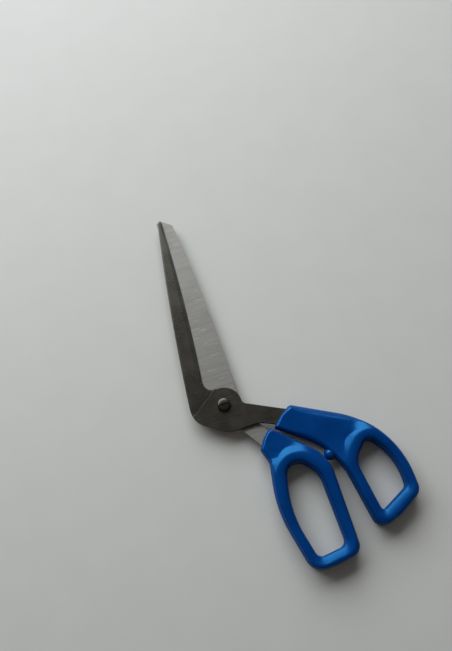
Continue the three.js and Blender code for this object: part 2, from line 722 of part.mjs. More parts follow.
// The belly corner is the hollow that the stop grows out of.
function thumbOutline() {
  const side = barSide(thumbHole, 1, THUMB_INNER_BAR);
  const end = barSide(thumbHole, 2, THUMB_END_BAR);
  const outer = barSide(thumbHole, 3, THUMB_OUTER_BAR);
  const shoulder = barSide(fingerHole, 4, FINGER_SHOULDER_BAR);
  const beside = { from: walk(shoulder.from, leftOf(shoulder.along), -CLOSED_GAP), along: shoulder.along };
  const inner = meetSides(beside, thumbFront);
  const top = walk(inner, thumbFront.along, THUMB_BLOCK_WIDTH);
  const back = { from: top, along: heading(THUMB_BACK_ANGLE) };
  const belly = { from: inner, along: heading(THUMB_BELLY_ANGLE) };
  const bellyCorner = meetSides(belly, side);
  const tail = meetSides(side, end);
  const endCorner = meetSides(end, outer);
  const backCorner = meetSides(outer, back);
  const corners = [
    corner(top, THUMB_BLOCK_CORNER),
    bulge(top, inner, FRONT_BOW, FRONT_BOW_RADIUS),
    corner(inner, THUMB_BELLY_CORNER),
    corner(bellyCorner, THUMB_BELLY_RADIUS),
    corner(tail, LOOP_CORNER),
    bulge(tail, endCorner, THUMB_END_BOW, END_BOW_RADIUS),
    corner(endCorner, LOOP_CORNER),
    corner(backCorner, THUMB_BACK_RADIUS),
  ];
  return { corners, bellyCorner, backMiddle: top.clone().lerp(backCorner, BACK_MIDDLE) };
}

const thumb = thumbOutline();

// A moulded handle. The loop round the hole is a rounded bar, which rises out of a thinner front block.
// edgeWidth gives the rounding at a place of the outline.
function moulding(outline, hole, edgeWidth) {
  const half = HANDLE_THICKNESS / 2;
  // How far the face lies below the crest, at a distance past the flat of the crest.
  const fall = (past) => {
    const share = THREE.MathUtils.clamp(past / (LOOP_REACH - LIP_FRONT - CREST_FLAT), 0, 1);
    const bent = Math.min(share, CREST_SHARE);
    const straight = bent * bent / (2 * CREST_SHARE) + share - bent;
    return BLOCK_DROP * straight / (1 - CREST_SHARE / 2);
  };
  const edges = outline.map(edgeWidth);
  const falls = inset(outline, edges).map((place) => {
    const distance = nearestOnOutline(place, hole).distanceTo(place);
    return fall(distance - LIP_FRONT - CREST_FLAT);
  });
  const reaches = hole.map((place) => {
    const foot = nearestOnOutline(place, outline);
    const room = foot.distanceTo(place) - edgeWidth(foot) - FLAT_LAND;
    return THREE.MathUtils.clamp(room, LOOP_LEAST, LOOP_REACH);
  });
  const end = Math.min(...hole.map((place) => place.y));
  const front = Math.max(...hole.map((place) => place.y));
  const towardsFront = hole.map((place) => (place.y - end) / (front - end));
  const { lerp } = THREE.MathUtils;
  const widest = towardsFront.map((share) => lerp(LIP_END, LIP_FRONT, share));
  const lips = reaches.map((reach, i) => Math.min(LIP_SHARE * reach, widest[i]));
  const noses = lips.map((width, i) => width * lerp(NOSE_END, NOSE_FRONT, towardsFront[i]));
  const lipFalls = lips.map((width, i) => LIP_SLOPE * (width - noses[i]));
  const flats = reaches.map((reach, i) => Math.min(CREST_FLAT, (reach - lips[i]) / 2));
  const slopes = reaches.map((reach, i) => reach - lips[i] - flats[i]);
  const quarter = Array.from({ length: ROUND_STEPS + 1 }, (_, k) => {
    const angle = ((k / ROUND_STEPS) * Math.PI) / 2;
    return { out: 1 - Math.cos(angle), down: 1 - Math.sin(angle) };
  });
  const outer = quarter.map(({ out, down }) => ({
    outline: inset(outline, edges.map((width) => width * out)),
    heights: falls.map((drop) => half - drop - EDGE_RISE * down),
  }));
  const nose = quarter.map(({ out, down }) => ({
    outline: inset(hole, noses.map((width) => -width * out)),
    heights: lipFalls.map((drop) => half - drop - (LIP_RISE - drop) * down),
  }));
  const crest = { outline: inset(hole, lips.map((width) => -width)), heights: lips.map(() => half) };
  const slope = Array.from({ length: SLOPE_STEPS + 1 }, (_, k) => {
    const share = k / SLOPE_STEPS;
    return {
      outline: inset(hole, slopes.map((width, i) => -lips[i] - flats[i] - width * share)),
      heights: slopes.map((width) => half - fall(width * share)),
    };
  });
  const bothSides = (upper) => {
    const side = (up) => upper.map(({ outline: line, heights }) => {
      return { outline: line, heights: heights.map((height) => half + up * height) };
    });
    return [...side(-1).reverse(), ...side(1)];
  };
  return solidFromRings(bothSides(outer), bothSides([...nose, crest, ...slope]));
}

function fingerHandle() {
  const body = moulding(fingerSide, closely(rounded(fingerHole)), () => EDGE_ROUND);
  return body.subtract(tangPocket(fingerShank, WIDE_OUTER_Z));
}

// The stop grows out of the hollow beside the thumb loop and ends just short of the finger handle.
function closingStop() {
  const root = thumb.bellyCorner;
  const meets = nearestOnOutline(root, fingerSide);
  const reach = root.distanceTo(meets) - SEAT_GAP;
  const radius = STOP_DIAMETER / 2;
  const geometry = new THREE.CapsuleGeometry(radius, reach - radius, ROUND_STEPS, TURNED_SIDES / 2);
  geometry.translate(0, (reach - radius) / 2, 0);
  geometry.rotateZ(Math.atan2(meets.y - root.y, meets.x - root.x) - Math.PI / 2);
  geometry.translate(root.x, root.y, HANDLE_THICKNESS / 2);
  return toSolid(geometry);
}

function thumbHandle() {
  const edgeWidth = (place) => {
    const share = Math.min(1, place.distanceTo(thumb.backMiddle) / BACK_REACH);
    return THREE.MathUtils.lerp(BACK_ROUND, EDGE_ROUND, share * share);
  };
  const outline = closely(rounded(thumb.corners));
  const body = moulding(outline, closely(rounded(thumbHole)), edgeWidth).add(closingStop());
  return body.subtract(tangPocket(thumbShank, NARROW_INNER_Z));
}

// Pivot pieces

function pivotScrew() {
  const head = SCREW_HEAD_DIAMETER / 2;
  const rimTop = SCREW_HEAD_Z + SCREW_HEAD_RIM;
  const dome = Array.from({ length: ROUND_STEPS + 1 }, (_, k) => {
    const angle = ((k / ROUND_STEPS) * Math.PI) / 2;
    return [head * Math.cos(angle), rimTop + SCREW_HEAD_DOME * Math.sin(angle)];
  });
  dome.at(-1)[0] = 0;
  const body = turned([
    [0, 0],
    [SCREW_DIAMETER / 2, 0],
    [SCREW_DIAMETER / 2, SCREW_HEAD_Z],
    [head, SCREW_HEAD_Z],
    ...dome,
  ]);
  const slot = new THREE.BoxGeometry(SCREW_HEAD_DIAMETER + CUT_MARGIN, SLOT_WIDTH, SLOT_DEPTH * 2);
  slot.translate(0, 0, rimTop + SCREW_HEAD_DOME);
  return body.subtract(toSolid(slot));
}

function pivotNut() {
  const acrossCorners = NUT_ACROSS_FLATS / Math.cos(Math.PI / 6);
  const hexagon = new THREE.CylinderGeometry(acrossCorners / 2, acrossCorners / 2, NUT_HEIGHT, 6);
  hexagon.rotateX(Math.PI / 2);
  hexagon.translate(0, 0, NUT_HEIGHT / 2);
  const chamfered = turned([
    [0, 0],
    [acrossCorners / 2 - NUT_CHAMFER, 0],
    [acrossCorners / 2 + NUT_CHAMFER, NUT_CHAMFER],
    [acrossCorners / 2 + NUT_CHAMFER, NUT_HEIGHT],
    [0, NUT_HEIGHT],
  ]);
  const bore = pin(SCREW_DIAMETER / 2 + SEAT_GAP, -CUT_MARGIN, NUT_HEIGHT + CUT_MARGIN);
  return toSolid(hexagon).intersect(chamfered).subtract(bore);
}

function springWasher() {
  const bore = SCREW_DIAMETER / 2 + SEAT_GAP;
  const rim = WASHER_DIAMETER / 2;
  return turned([
    [bore, WASHER_Z],
    [rim, WASHER_Z + WASHER_DISH],
    [rim, WASHER_Z + WASHER_DISH + WASHER_THICKNESS],
    [bore, WASHER_Z + WASHER_THICKNESS],
    [bore, WASHER_Z],
  ]);
}

// Assembly

const polishedSteel = { color: 0x8f908d, roughness: 0.32, metalness: 1 };
const satinSteel = { color: 0x5c5e5d, roughness: 0.38, metalness: 1 };
const fastenerSteel = { color: 0x77787a, roughness: 0.3, metalness: 1 };
const bluePlastic = { color: 0x06386f, roughness: 0.35, metalness: 0 };

function piece(name, solid, look) {
  const mesh = new THREE.Mesh(toGeometry(solid), new THREE.MeshStandardMaterial(look));
  mesh.name = name;
  return mesh;
}

// The upper half carries the pivot; the lower half turns on it.
const upperHalf = new THREE.Group();
upperHalf.add(
  piece('wide_blade', wideBlade(), polishedSteel),
  piece('finger_handle', fingerHandle(), bluePlastic),
  piece('pivot_screw', pivotScrew(), fastenerSteel),
  piece('spring_washer', springWasher(), fastenerSteel),
  piece('pivot_nut', pivotNut(), fastenerSteel),
);

const lowerHalf = new THREE.Group();
lowerHalf.add(
  piece('narrow_blade', narrowBlade(), satinSteel),
  piece('thumb_handle', thumbHandle(), bluePlastic),
);

const scissors = new THREE.Group();
scissors.add(upperHalf, lowerHalf);

export default scissors;
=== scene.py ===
# Pizza scissors with offset loop handles, closed and lying on one side.
# Metres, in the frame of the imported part: the pivot axis is at the origin, +Y runs to the blade
# tips, +X to the side where the handles stand off, and +Z up out of the table.

import math

import bmesh
import bpy
import numpy as np
from mathutils import Matrix, Vector


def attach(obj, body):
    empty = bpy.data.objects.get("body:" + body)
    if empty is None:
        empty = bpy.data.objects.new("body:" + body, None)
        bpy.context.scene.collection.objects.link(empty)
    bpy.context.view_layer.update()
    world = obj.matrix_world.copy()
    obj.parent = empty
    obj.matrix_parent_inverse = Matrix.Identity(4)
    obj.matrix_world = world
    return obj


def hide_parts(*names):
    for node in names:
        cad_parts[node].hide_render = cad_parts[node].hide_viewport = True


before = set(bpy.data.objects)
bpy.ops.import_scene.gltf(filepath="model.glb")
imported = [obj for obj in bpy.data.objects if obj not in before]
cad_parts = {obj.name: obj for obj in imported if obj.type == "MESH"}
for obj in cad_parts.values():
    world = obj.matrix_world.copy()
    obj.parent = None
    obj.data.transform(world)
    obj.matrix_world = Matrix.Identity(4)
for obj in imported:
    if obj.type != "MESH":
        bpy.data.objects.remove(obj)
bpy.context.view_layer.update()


# Wide blade: the upper one in use. Blade, shank and tang are one stamping of stainless plate,
# ground on the outer side of the cutting edge, and its inner face is brushed across.

BLADE_THICKNESS = 0.0022
EDGE_LAND = 0.0003
GRIND_WIDTH = 0.0036
GRIND_SHARE = 0.45
GRIND_STEPS = 6
EDGE_BREAK = 0.00035
BLADE_REACH = 0.13699
EDGE_HEEL = 0.019
TIP_RADIUS = 0.0014
BOSS_RADIUS = 0.0116
TANG_RADIUS = 0.003
SHANK_RADIUS = 0.020
ANCHOR_RADIUS = 0.0025
ARC_STEP = math.radians(4)
CURVE_STEPS = 28
BORE_SIDES = 48
CUT_MARGIN = 0.001
SAME_PLACE = 0.000001
PLATE_SHARP = math.radians(20)

WIDE_INNER_Z = 0.0069
WIDE_EDGE_TIP = Vector((-0.0032, 0.1356))
WIDE_EDGE_HEEL = Vector((-0.0121, EDGE_HEEL))
WIDE_EDGE_BOW = 0.0014
WIDE_BOSS_SIDE = (-BOSS_RADIUS, -0.006)
WIDE_SHANK_LEFT = (0.00451, -0.01722)
FINGER_TANG_END = ((0.02173, -0.04374), (0.03062, -0.03797))
FINGER_ANCHOR = (0.02318, -0.03625)
WIDE_SHANK_RIGHT = (0.0114, -0.00837)
WIDE_SPINE_HEEL = Vector((0.0114, EDGE_HEEL))
WIDE_SPINE_TIP = Vector((0.0069, 0.1318))
WIDE_SPINE_BOW = -0.0013
WIDE_TIP = (0.0004, BLADE_REACH)
WIDE_BORE_RADIUS = 0.0031


def left_of(direction):
    return Vector((-direction.y, direction.x))


def rounded(corners, closed=True):
    """The points of an outline given by (x, y, radius) corners, each rounded by an arc that fits."""
    places = [Vector(corner[:2]) for corner in corners]
    count = len(places)
    sides = [(places[i - 1] - place, places[(i + 1) % count] - place) for i, place in enumerate(places)]
    runs = [corner[2] / math.tan(back.angle(ahead) / 2) for corner, (back, ahead) in zip(corners, sides)]
    if not closed:
        runs[0] = 0
        runs[-1] = 0
    points = []
    for i, (place, (back, ahead)) in enumerate(zip(places, sides)):
        if runs[i] == 0:
            points.append(place)
            continue
        share_back = back.length / (runs[i] + runs[i - 1])
        share_ahead = ahead.length / (runs[i] + runs[(i + 1) % count])
        run = runs[i] * min(1, share_back, share_ahead)
        back.normalize()
        ahead.normalize()
        turn = math.pi - back.angle(ahead)
        side = math.copysign(1, ahead.cross(back))
        start = place + back * run
        centre = start - left_of(back) * side * run / math.tan(turn / 2)
        steps = max(1, math.ceil(turn / ARC_STEP))
        for k in range(steps + 1):
            swing = Matrix.Rotation(side * turn * k / steps, 2)
            points.append(centre + swing @ (start - centre))
    kept = []
    for i, place in enumerate(points):
        starts = i == 0 and not closed
        if starts or (place - points[i - 1]).length > SAME_PLACE:
            kept.append(place)
    return kept


def bowed(start, end, bow):
    """A shallow curve between two points that leaves its chord by bow, to the left of its run."""
    crest = (start + end) / 2 + left_of((end - start).normalized()) * 2 * bow
    shares = [k / CURVE_STEPS for k in range(CURVE_STEPS + 1)]
    return [start * (1 - t) ** 2 + crest * 2 * t * (1 - t) + end * t**2 for t in shares]


def inset(outline, amounts):
    """The outline with each point moved to its left: inwards where it runs anticlockwise."""
    count = len(outline)
    moved = []
    for i, place in enumerate(outline):
        before = left_of((place - outline[i - 1]).normalized())
        after = left_of((outline[(i + 1) % count] - place).normalized())
        left = (before + after).normalized()
        moved.append(place + left * amounts[i] / left.dot(after))
    return moved


def nearest(place, points):
    return min((place - other).length for other in points)


def lofted(rings, hole_rings=()):
    """A closed bmesh through rings of one outline, listed from the bottom up, with its ends filled."""
    mesh = bmesh.new()
    ends = ([], [])
    for wall in filter(None, (rings, hole_rings)):
        loops = [[mesh.verts.new(place) for place in ring] for ring in wall]
        for low, high in zip(loops, loops[1:]):
            for i in range(len(low)):
                mesh.faces.new((low[i - 1], low[i], high[i], high[i - 1]))
        for end, loop in zip(ends, (loops[0], loops[-1])):
            end.append(loop)
    for loops in ends:
        if len(loops) == 1:
            end = mesh.faces.new(loops[0])
            end.normal_update()
            bmesh.ops.triangulate(mesh, faces=[end])
            continue
        rim = [mesh.edges.get((loop[i - 1], loop[i])) for loop in loops for i in range(len(loop))]
        filled = bmesh.ops.triangle_fill(mesh, use_beauty=True, edges=rim)["geom"]
        faces = [one for one in filled if isinstance(one, bmesh.types.BMFace)]
        inside = [one for one in filled if isinstance(one, bmesh.types.BMEdge) and one not in rim]
        bmesh.ops.beautify_fill(mesh, faces=faces, edges=inside, method="ANGLE")
    bmesh.ops.recalc_face_normals(mesh, faces=mesh.faces)
    return mesh


def ground_plate(back, levels, thickness, inner_z, outwards):
    """A plate with softly broken edges, ground on its outer side.

    The levels hold the points and thicknesses of the ground part, from the cutting edge upwards.
    """
    edge, lands = levels[0]
    outline = [*back, *edge]
    soft = EDGE_BREAK * (1 - math.sqrt(0.5))
    lines = []
    for inwards, up, land_share in ((EDGE_BREAK, 0, 0), (soft, soft, 1 / 3), (0, EDGE_BREAK, 2 / 3)):
        line = inset(outline, [inwards] * len(back) + [0] * len(edge))
        lines.append((line, [up] * len(back) + [land * land_share for land in lands]))
    for k, (ground, ground_heights) in enumerate(levels):
        angle = k / (len(levels) - 1) * math.pi / 2
        broken = inset(outline, [EDGE_BREAK * (1 - math.cos(angle))] * len(outline))[: len(back)]
        back_heights = [thickness(place) - EDGE_BREAK * (1 - math.sin(angle)) for place in back]
        lines.append(([*broken, *ground], [*back_heights, *ground_heights]))
    rings = []
    for line, heights in lines:
        rings.append([(*place, inner_z + outwards * height) for place, height in zip(line, heights)])
    return lofted(rings if outwards > 0 else rings[::-1])


def beside_edge(back, edge, widths):
    """The points of an edge moved into the plate by the given widths."""
    return inset([*back, *edge], [0] * len(back) + list(widths))[len(back) :]


def grind_widths(back, edge, most):
    """How wide a grind can be at each point of an edge, up to the given width."""
    return np.clip([GRIND_SHARE * nearest(place, back) for place in edge], EDGE_BREAK, most)


def slopes(low, high):
    """Levels between two runs of points with their heights."""
    made = []
    for k in range(GRIND_STEPS + 1):
        share = k / GRIND_STEPS
        line = [a.lerp(b, share) for a, b in zip(low[0], high[0])]
        made.append((line, [a + (b - a) * share for a, b in zip(low[1], high[1])]))
    return made


def to_object(name, mesh):
    data = bpy.data.meshes.new(name)
    mesh.to_mesh(data)
    mesh.free()
    made = bpy.data.objects.new(name, data)
    bpy.context.scene.collection.objects.link(made)
    return made


def upright_bar(sides, radius, low, high, place=(0, 0)):
    """A bar along Z between two heights, with a given number of sides."""
    mesh = bmesh.new()
    bmesh.ops.create_cone(
        mesh,
        cap_ends=True,
        segments=sides,
        radius1=radius,
        radius2=radius,
        depth=high - low,
        matrix=Matrix.Translation((*place, (low + high) / 2)),
    )
    return mesh


def combine(piece, mesh, operation):
    """Joins a mesh to a piece, or cuts it out of the piece."""
    other = to_object("tool", mesh)
    step = piece.modifiers.new("combine", "BOOLEAN")
    step.operation = operation
    step.solver = "EXACT"
    step.object = other
    graph = bpy.context.evaluated_depsgraph_get()
    data = bpy.data.meshes.new_from_object(piece.evaluated_get(graph))
    data.name = piece.name
    piece.modifiers.clear()
    piece.data = data
    bpy.data.objects.remove(other)


def bore(piece, radius, low, high, place=(0, 0)):
    """Cuts a round hole along Z through a piece."""
    combine(piece, upright_bar(BORE_SIDES, radius, low, high, place), "DIFFERENCE")


def shade(piece, sharp):
    """Smooth shading that keeps flat faces flat, and breaks at edges sharper than the given angle."""
    piece.data.shade_smooth()
    piece.data.set_sharp_from_angle(angle=sharp)
    weights = piece.modifiers.new("flat faces lead", "WEIGHTED_NORMAL")
    weights.keep_sharp = True


MIX_SHARE = 0
MIX_FIRST_COLOUR = 6
MIX_SECOND_COLOUR = 7
MIX_RESULT_COLOUR = 2
ALL = (0.0, 1.0)
NOISE_MIDDLE = (0.35, 0.65)


def add_node(tree, kind, inputs, **settings):
    """A new node whose inputs are linked where a socket is given, and set where a value is."""
    made = tree.nodes.new(kind)
    for key, value in settings.items():
        setattr(made, key, value)
    for key, value in inputs.items():
        if isinstance(value, bpy.types.NodeSocket):
            tree.links.new(value, made.inputs[key])
        else:
            made.inputs[key].default_value = value
    return made


def shader_group(name, inputs, outputs):
    """An empty shader group with a Place vector and number sockets, and its inner ends."""
    tree = bpy.data.node_groups.new(name, "ShaderNodeTree")
    tree.interface.new_socket("Place", in_out="INPUT", socket_type="NodeSocketVector")
    for label, value in inputs.items():
        socket = tree.interface.new_socket(label, in_out="INPUT", socket_type="NodeSocketFloat")
        socket.default_value = value
    for label in outputs:
        tree.interface.new_socket(label, in_out="OUTPUT", socket_type="NodeSocketFloat")
    given = tree.nodes.new("NodeGroupInput").outputs
    put = tree.nodes.new("NodeGroupOutput").inputs
    return tree, given, put


def effect(tree, group, inputs):
    """The outputs of a shader group placed in a material."""
    return add_node(tree, "ShaderNodeGroup", inputs, node_tree=group).outputs


def noise(tree, place, scale, detail, wander=0.0):
    inputs = {"Vector": place, "Scale": scale, "Detail": detail, "Distortion": wander}
    return add_node(tree, "ShaderNodeTexNoise", inputs).outputs["Fac"]


def spread(tree, value, old, new=ALL):
    """The value moved from one (low, high) range to another, and held inside it."""
    inputs = {"Value": value, "From Min": old[0], "From Max": old[1], "To Min": new[0], "To Max": new[1]}
    return add_node(tree, "ShaderNodeMapRange", inputs).outputs["Result"]


def sums(tree, operation, first, second=0.0):
    return add_node(tree, "ShaderNodeMath", {0: first, 1: second}, operation=operation).outputs["Value"]


def vector_sums(tree, operation, inputs):
    return add_node(tree, "ShaderNodeVectorMath", inputs, operation=operation).outputs


def part_of(tree, vector, axis):
    return add_node(tree, "ShaderNodeSeparateXYZ", {"Vector": vector}).outputs[axis]


def whole_of(tree, parts):
    return add_node(tree, "ShaderNodeCombineXYZ", parts).outputs["Vector"]


def mixed(tree, share, first, second):
    inputs = {MIX_SHARE: share, MIX_FIRST_COLOUR: first, MIX_SECOND_COLOUR: second}
    return add_node(tree, "ShaderNodeMix", inputs, data_type="RGBA").outputs[MIX_RESULT_COLOUR]


def colour(red, green, blue):
    """A colour given in screen values from 0 to 255, as the linear one that shaders take."""
    shares = np.array((red, green, blue)) / 255
    linear = np.where(shares <= 0.04045, shares / 12.92, ((shares + 0.055) / 1.055) ** 2.4)
    return (*linear.tolist(), 1.0)


def new_material(name):
    """A new material with its node tree and its shader's inputs."""
    made = bpy.data.materials.new(name)
    made.use_nodes = True
    return made, made.node_tree, made.node_tree.nodes["Principled BSDF"].inputs


# Lines left by a belt that ran along X: fine ones, the broad bands between passes, and a few short
# strokes that wander off the line.
LINES_PER_METRE = 5000.0
LINE_RUN = 90.0
LINE_DETAIL = 3.0
BAND_SCALE = 0.12
BAND_DETAIL = 2.0
STROKE_STRETCH = (110.0, 1200.0, 1200.0)
STROKE_DETAIL = 2.0
STROKE_WANDER = 0.8
STROKE_RANGE = (0.58, 0.72)

brush_lines, given, put = shader_group(
    "Brush lines", {"Lines": LINES_PER_METRE, "Run": LINE_RUN}, ["Line", "Band", "Stroke"]
)
stretch = whole_of(brush_lines, {"X": given["Run"], "Y": given["Lines"], "Z": given["Lines"]})
fine = vector_sums(brush_lines, "MULTIPLY", {0: given["Place"], 1: stretch})["Vector"]
short = vector_sums(brush_lines, "MULTIPLY", {0: given["Place"], 1: STROKE_STRETCH})["Vector"]
strokes = noise(brush_lines, short, 1.0, STROKE_DETAIL, STROKE_WANDER)
brush_lines.links.new(noise(brush_lines, fine, 1.0, LINE_DETAIL), put["Line"])
brush_lines.links.new(noise(brush_lines, fine, BAND_SCALE, BAND_DETAIL), put["Band"])
brush_lines.links.new(spread(brush_lines, strokes, STROKE_RANGE), put["Stroke"])

# Faint smears and dull patches from handling.
SMEAR_SIZE = 0.012
SMEAR_DETAIL = 4.0
SMEAR_RANGE = (0.42, 0.72)

handling, given, put = shader_group("Handling marks", {"Size": SMEAR_SIZE}, ["Smear"])
smear = noise(handling, given["Place"], sums(handling, "DIVIDE", 1.0, given["Size"]), SMEAR_DETAIL)
handling.links.new(spread(handling, smear, SMEAR_RANGE), put["Smear"])

# Edges made brighter, unevenly, within a small distance of where two faces meet: partly rubbed wear,
# partly a painted edge highlight.
EDGE_MARK_REACH = 0.0004
EDGE_MARK_SAMPLES = 6
EDGE_MARK_RANGE = (0.99, 0.86)
EDGE_MARK_PATCHES_PER_METRE = 700.0
EDGE_MARK_DETAIL = 3.0
EDGE_MARK_STRENGTH = (0.3, 1.0)

worn_and_highlit_edges, given, put = shader_group("Worn and highlit edges", {"Reach": EDGE_MARK_REACH}, ["Edge"])
softened = add_node(worn_and_highlit_edges, "ShaderNodeBevel", {"Radius": given["Reach"]}, samples=EDGE_MARK_SAMPLES)
faced = worn_and_highlit_edges.nodes.new("ShaderNodeNewGeometry")
both_normals = {0: softened.outputs["Normal"], 1: faced.outputs["Normal"]}
agreement = vector_sums(worn_and_highlit_edges, "DOT_PRODUCT", both_normals)["Value"]
edge_mark_noise = noise(worn_and_highlit_edges, given["Place"], EDGE_MARK_PATCHES_PER_METRE, EDGE_MARK_DETAIL)
edge_mark_patches = spread(worn_and_highlit_edges, edge_mark_noise, NOISE_MIDDLE, EDGE_MARK_STRENGTH)
worn_and_highlit_edges.links.new(sums(worn_and_highlit_edges, "MULTIPLY", spread(worn_and_highlit_edges, agreement, EDGE_MARK_RANGE), edge_mark_patches), put["Edge"])

# Faces that lean sideways, such as the bevels along a cutting edge, painted lighter than the flat faces to
# stand in for light that they lack; and how far towards the tip a place is, where use rubs the blade most.
BEVEL_LEAN = (0.2, 0.3)
TIP_EDGE_MARKS = (0.35, 1.0)

painted_bevel_light, given, put = shader_group("Painted bevel light", {"Heel": EDGE_HEEL}, ["Bevel", "Tip"])
plate_facing = painted_bevel_light.nodes.new("ShaderNodeTexCoord").outputs["Normal"]
sideways = sums(painted_bevel_light, "ABSOLUTE", part_of(painted_bevel_light, plate_facing, "X"))
lengthways = part_of(painted_bevel_light, given["Place"], "Y")
past_heel = sums(painted_bevel_light, "GREATER_THAN", lengthways, given["Heel"])
# Painted light: the lighter bevel colour goes where a face leans sideways.
bevelled = sums(painted_bevel_light, "MULTIPLY", spread(painted_bevel_light, sideways, BEVEL_LEAN), past_heel)
tipwards = spread(painted_bevel_light, lengthways, (EDGE_HEEL, BLADE_REACH), TIP_EDGE_MARKS)
painted_bevel_light.links.new(bevelled, put["Bevel"])
painted_bevel_light.links.new(tipwards, put["Tip"])

STEEL_TONES = (0.75, 1.25)
STEEL_LINES = (0.3, 0.7)
STEEL_SMOOTHER = 0.06
STEEL_ROUGHER = 0.08
STEEL_SMEARS = (0.0, 0.08)
STEEL_RELIEF = 0.6


def steel(name, dark, light, edge, rough, line_depth, lines, stroke_share, bevel=None, on_lathe=False):
    """Brushed or turned steel: colour, roughness and relief follow the tool's lines."""
    made, tree, shader = new_material(name)
    shader["Metallic"].default_value = 1.0
    place = tree.nodes.new("ShaderNodeTexCoord").outputs["Object"]
    path = place
    if on_lathe:
        flat = whole_of(tree, {"X": part_of(tree, place, "X"), "Y": part_of(tree, place, "Y")})
        radius = vector_sums(tree, "LENGTH", {0: flat})["Value"]
        path = whole_of(tree, {"Y": radius, "Z": part_of(tree, place, "Z")})
    brushing = effect(tree, brush_lines, {"Place": path, "Lines": lines})
    smears = effect(tree, handling, {"Place": place})["Smear"]
    edge_marks = effect(tree, worn_and_highlit_edges, {"Place": place})["Edge"]
    tone = spread(tree, sums(tree, "ADD", brushing["Line"], brushing["Band"]), STEEL_TONES)
    scored = sums(tree, "MULTIPLY", brushing["Stroke"], stroke_share)
    body_colour = mixed(tree, scored, mixed(tree, tone, dark, light), edge)
    # Painted light: faces that lean sideways take the lighter bevel colour.
    if bevel:
        bevel_paint = effect(tree, painted_bevel_light, {"Place": place})
        body_colour = mixed(tree, bevel_paint["Bevel"], body_colour, bevel)
        edge_marks = sums(tree, "MULTIPLY", edge_marks, bevel_paint["Tip"])
    # Edges take the edge colour: partly rubbed wear, partly a painted highlight.
    tree.links.new(mixed(tree, edge_marks, body_colour, edge), shader["Base Color"])
    line_range = (rough - STEEL_SMOOTHER, rough + STEEL_ROUGHER)
    line_rough = spread(tree, brushing["Line"], STEEL_LINES, line_range)
    smear_rough = spread(tree, smears, ALL, STEEL_SMEARS)
    tree.links.new(sums(tree, "ADD", line_rough, smear_rough), shader["Roughness"])
    bumps = {"Height": brushing["Line"], "Distance": line_depth, "Strength": STEEL_RELIEF}
    tree.links.new(add_node(tree, "ShaderNodeBump", bumps).outputs["Normal"], shader["Normal"])
    return made


bright_steel = steel(
    "Bright brushed steel",
    dark=colour(125, 123, 120),
    light=colour(139, 137, 134),
    # Edge colour: brush strokes, worn edges and a painted edge highlight.
    edge=colour(180, 180, 176),
    # Bevel colour: painted light on faces that lean sideways.
    bevel=colour(170, 170, 167),
    rough=0.56,
    line_depth=0.00002,
    lines=3600.0,
    stroke_share=0.32,
)


def fit(piece, node, body, material):
    """Gives a piece its material and lets it stand for its CAD node."""
    piece.data.materials.clear()
    piece.data.materials.append(material)
    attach(piece, body)
    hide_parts(node)


wide_back = rounded(
    [
        (*WIDE_EDGE_HEEL, 0),
        (*WIDE_BOSS_SIDE, BOSS_RADIUS),
        (*WIDE_SHANK_LEFT, SHANK_RADIUS),
        (*FINGER_TANG_END[0], TANG_RADIUS),
        (*FINGER_TANG_END[1], TANG_RADIUS),
        (*WIDE_SHANK_RIGHT, SHANK_RADIUS),
        *[(*place, 0) for place in bowed(WIDE_SPINE_HEEL, WIDE_SPINE_TIP, WIDE_SPINE_BOW)[:-1]],
        (*WIDE_SPINE_TIP, TIP_RADIUS),
        (*WIDE_TIP, TIP_RADIUS),
        (*WIDE_EDGE_TIP, 0),
    ],
    closed=False,
)
wide_edge = bowed(WIDE_EDGE_TIP, WIDE_EDGE_HEEL, WIDE_EDGE_BOW)
wide_sides = wide_back[1:-1]
wide_grinds = grind_widths(wide_sides, wide_edge, GRIND_WIDTH)
wide_lands = np.interp(wide_grinds, (EDGE_BREAK, GRIND_WIDTH), (BLADE_THICKNESS - EDGE_BREAK, EDGE_LAND))
wide_ridge = beside_edge(wide_sides, wide_edge, wide_grinds)
wide_plate = ground_plate(
    back=wide_sides,
    levels=slopes((wide_edge, wide_lands), (wide_ridge, [BLADE_THICKNESS] * len(wide_ridge))),
    thickness=lambda place: BLADE_THICKNESS,
    inner_z=WIDE_INNER_Z,
    outwards=-1,
)
upper_blade = to_object("upper_blade", wide_plate)
wide_low = WIDE_INNER_Z - BLADE_THICKNESS - CUT_MARGIN
wide_high = WIDE_INNER_Z + CUT_MARGIN
bore(upper_blade, WIDE_BORE_RADIUS, wide_low, wide_high)
bore(upper_blade, ANCHOR_RADIUS, wide_low, wide_high, FINGER_ANCHOR)
shade(upper_blade, PLATE_SHARP)
fit(upper_blade, "wide_blade", "upper_half", bright_steel)


# Narrow blade: the lower one in use, which slides under the crust. One stamping like the other, in a
# darker satin finish. Its outer face is ground flat, falling from the spine to a narrow bevel along
# the cutting edge, and the grind runs out in a slanted line beside the boss.

NARROW_INNER_Z = 0.0072
NARROW_EDGE_HEEL = Vector((-0.0085, EDGE_HEEL))
NARROW_EDGE_TIP = Vector((0.0004, 0.1356))
NARROW_EDGE_BOW = -0.0014
NARROW_TIP = (-0.0003, BLADE_REACH)
NARROW_SPINE_TIP = Vector((-0.0024, 0.1356))
NARROW_SPINE_HEEL = Vector((-0.02257, -0.0045))
NARROW_SPINE_BOW = -0.0017
NARROW_HEEL_RADIUS = 0.014
NARROW_BELLY_Y = -0.018
NARROW_BELLY_X = -0.0025
NARROW_SHANK_X = 0.01815
THUMB_TANG_END = ((0.05657, -0.03758), (0.06156, -0.02777))
THUMB_ANCHOR = (0.05416, -0.03018)
NECK = (0.0116, -0.00232)
NECK_RADIUS = 0.0035
BOSS_TOP = Vector((0, BOSS_RADIUS))
CHOIL = Vector((-0.0085, 0.0126))
CHOIL_RADIUS = 0.006
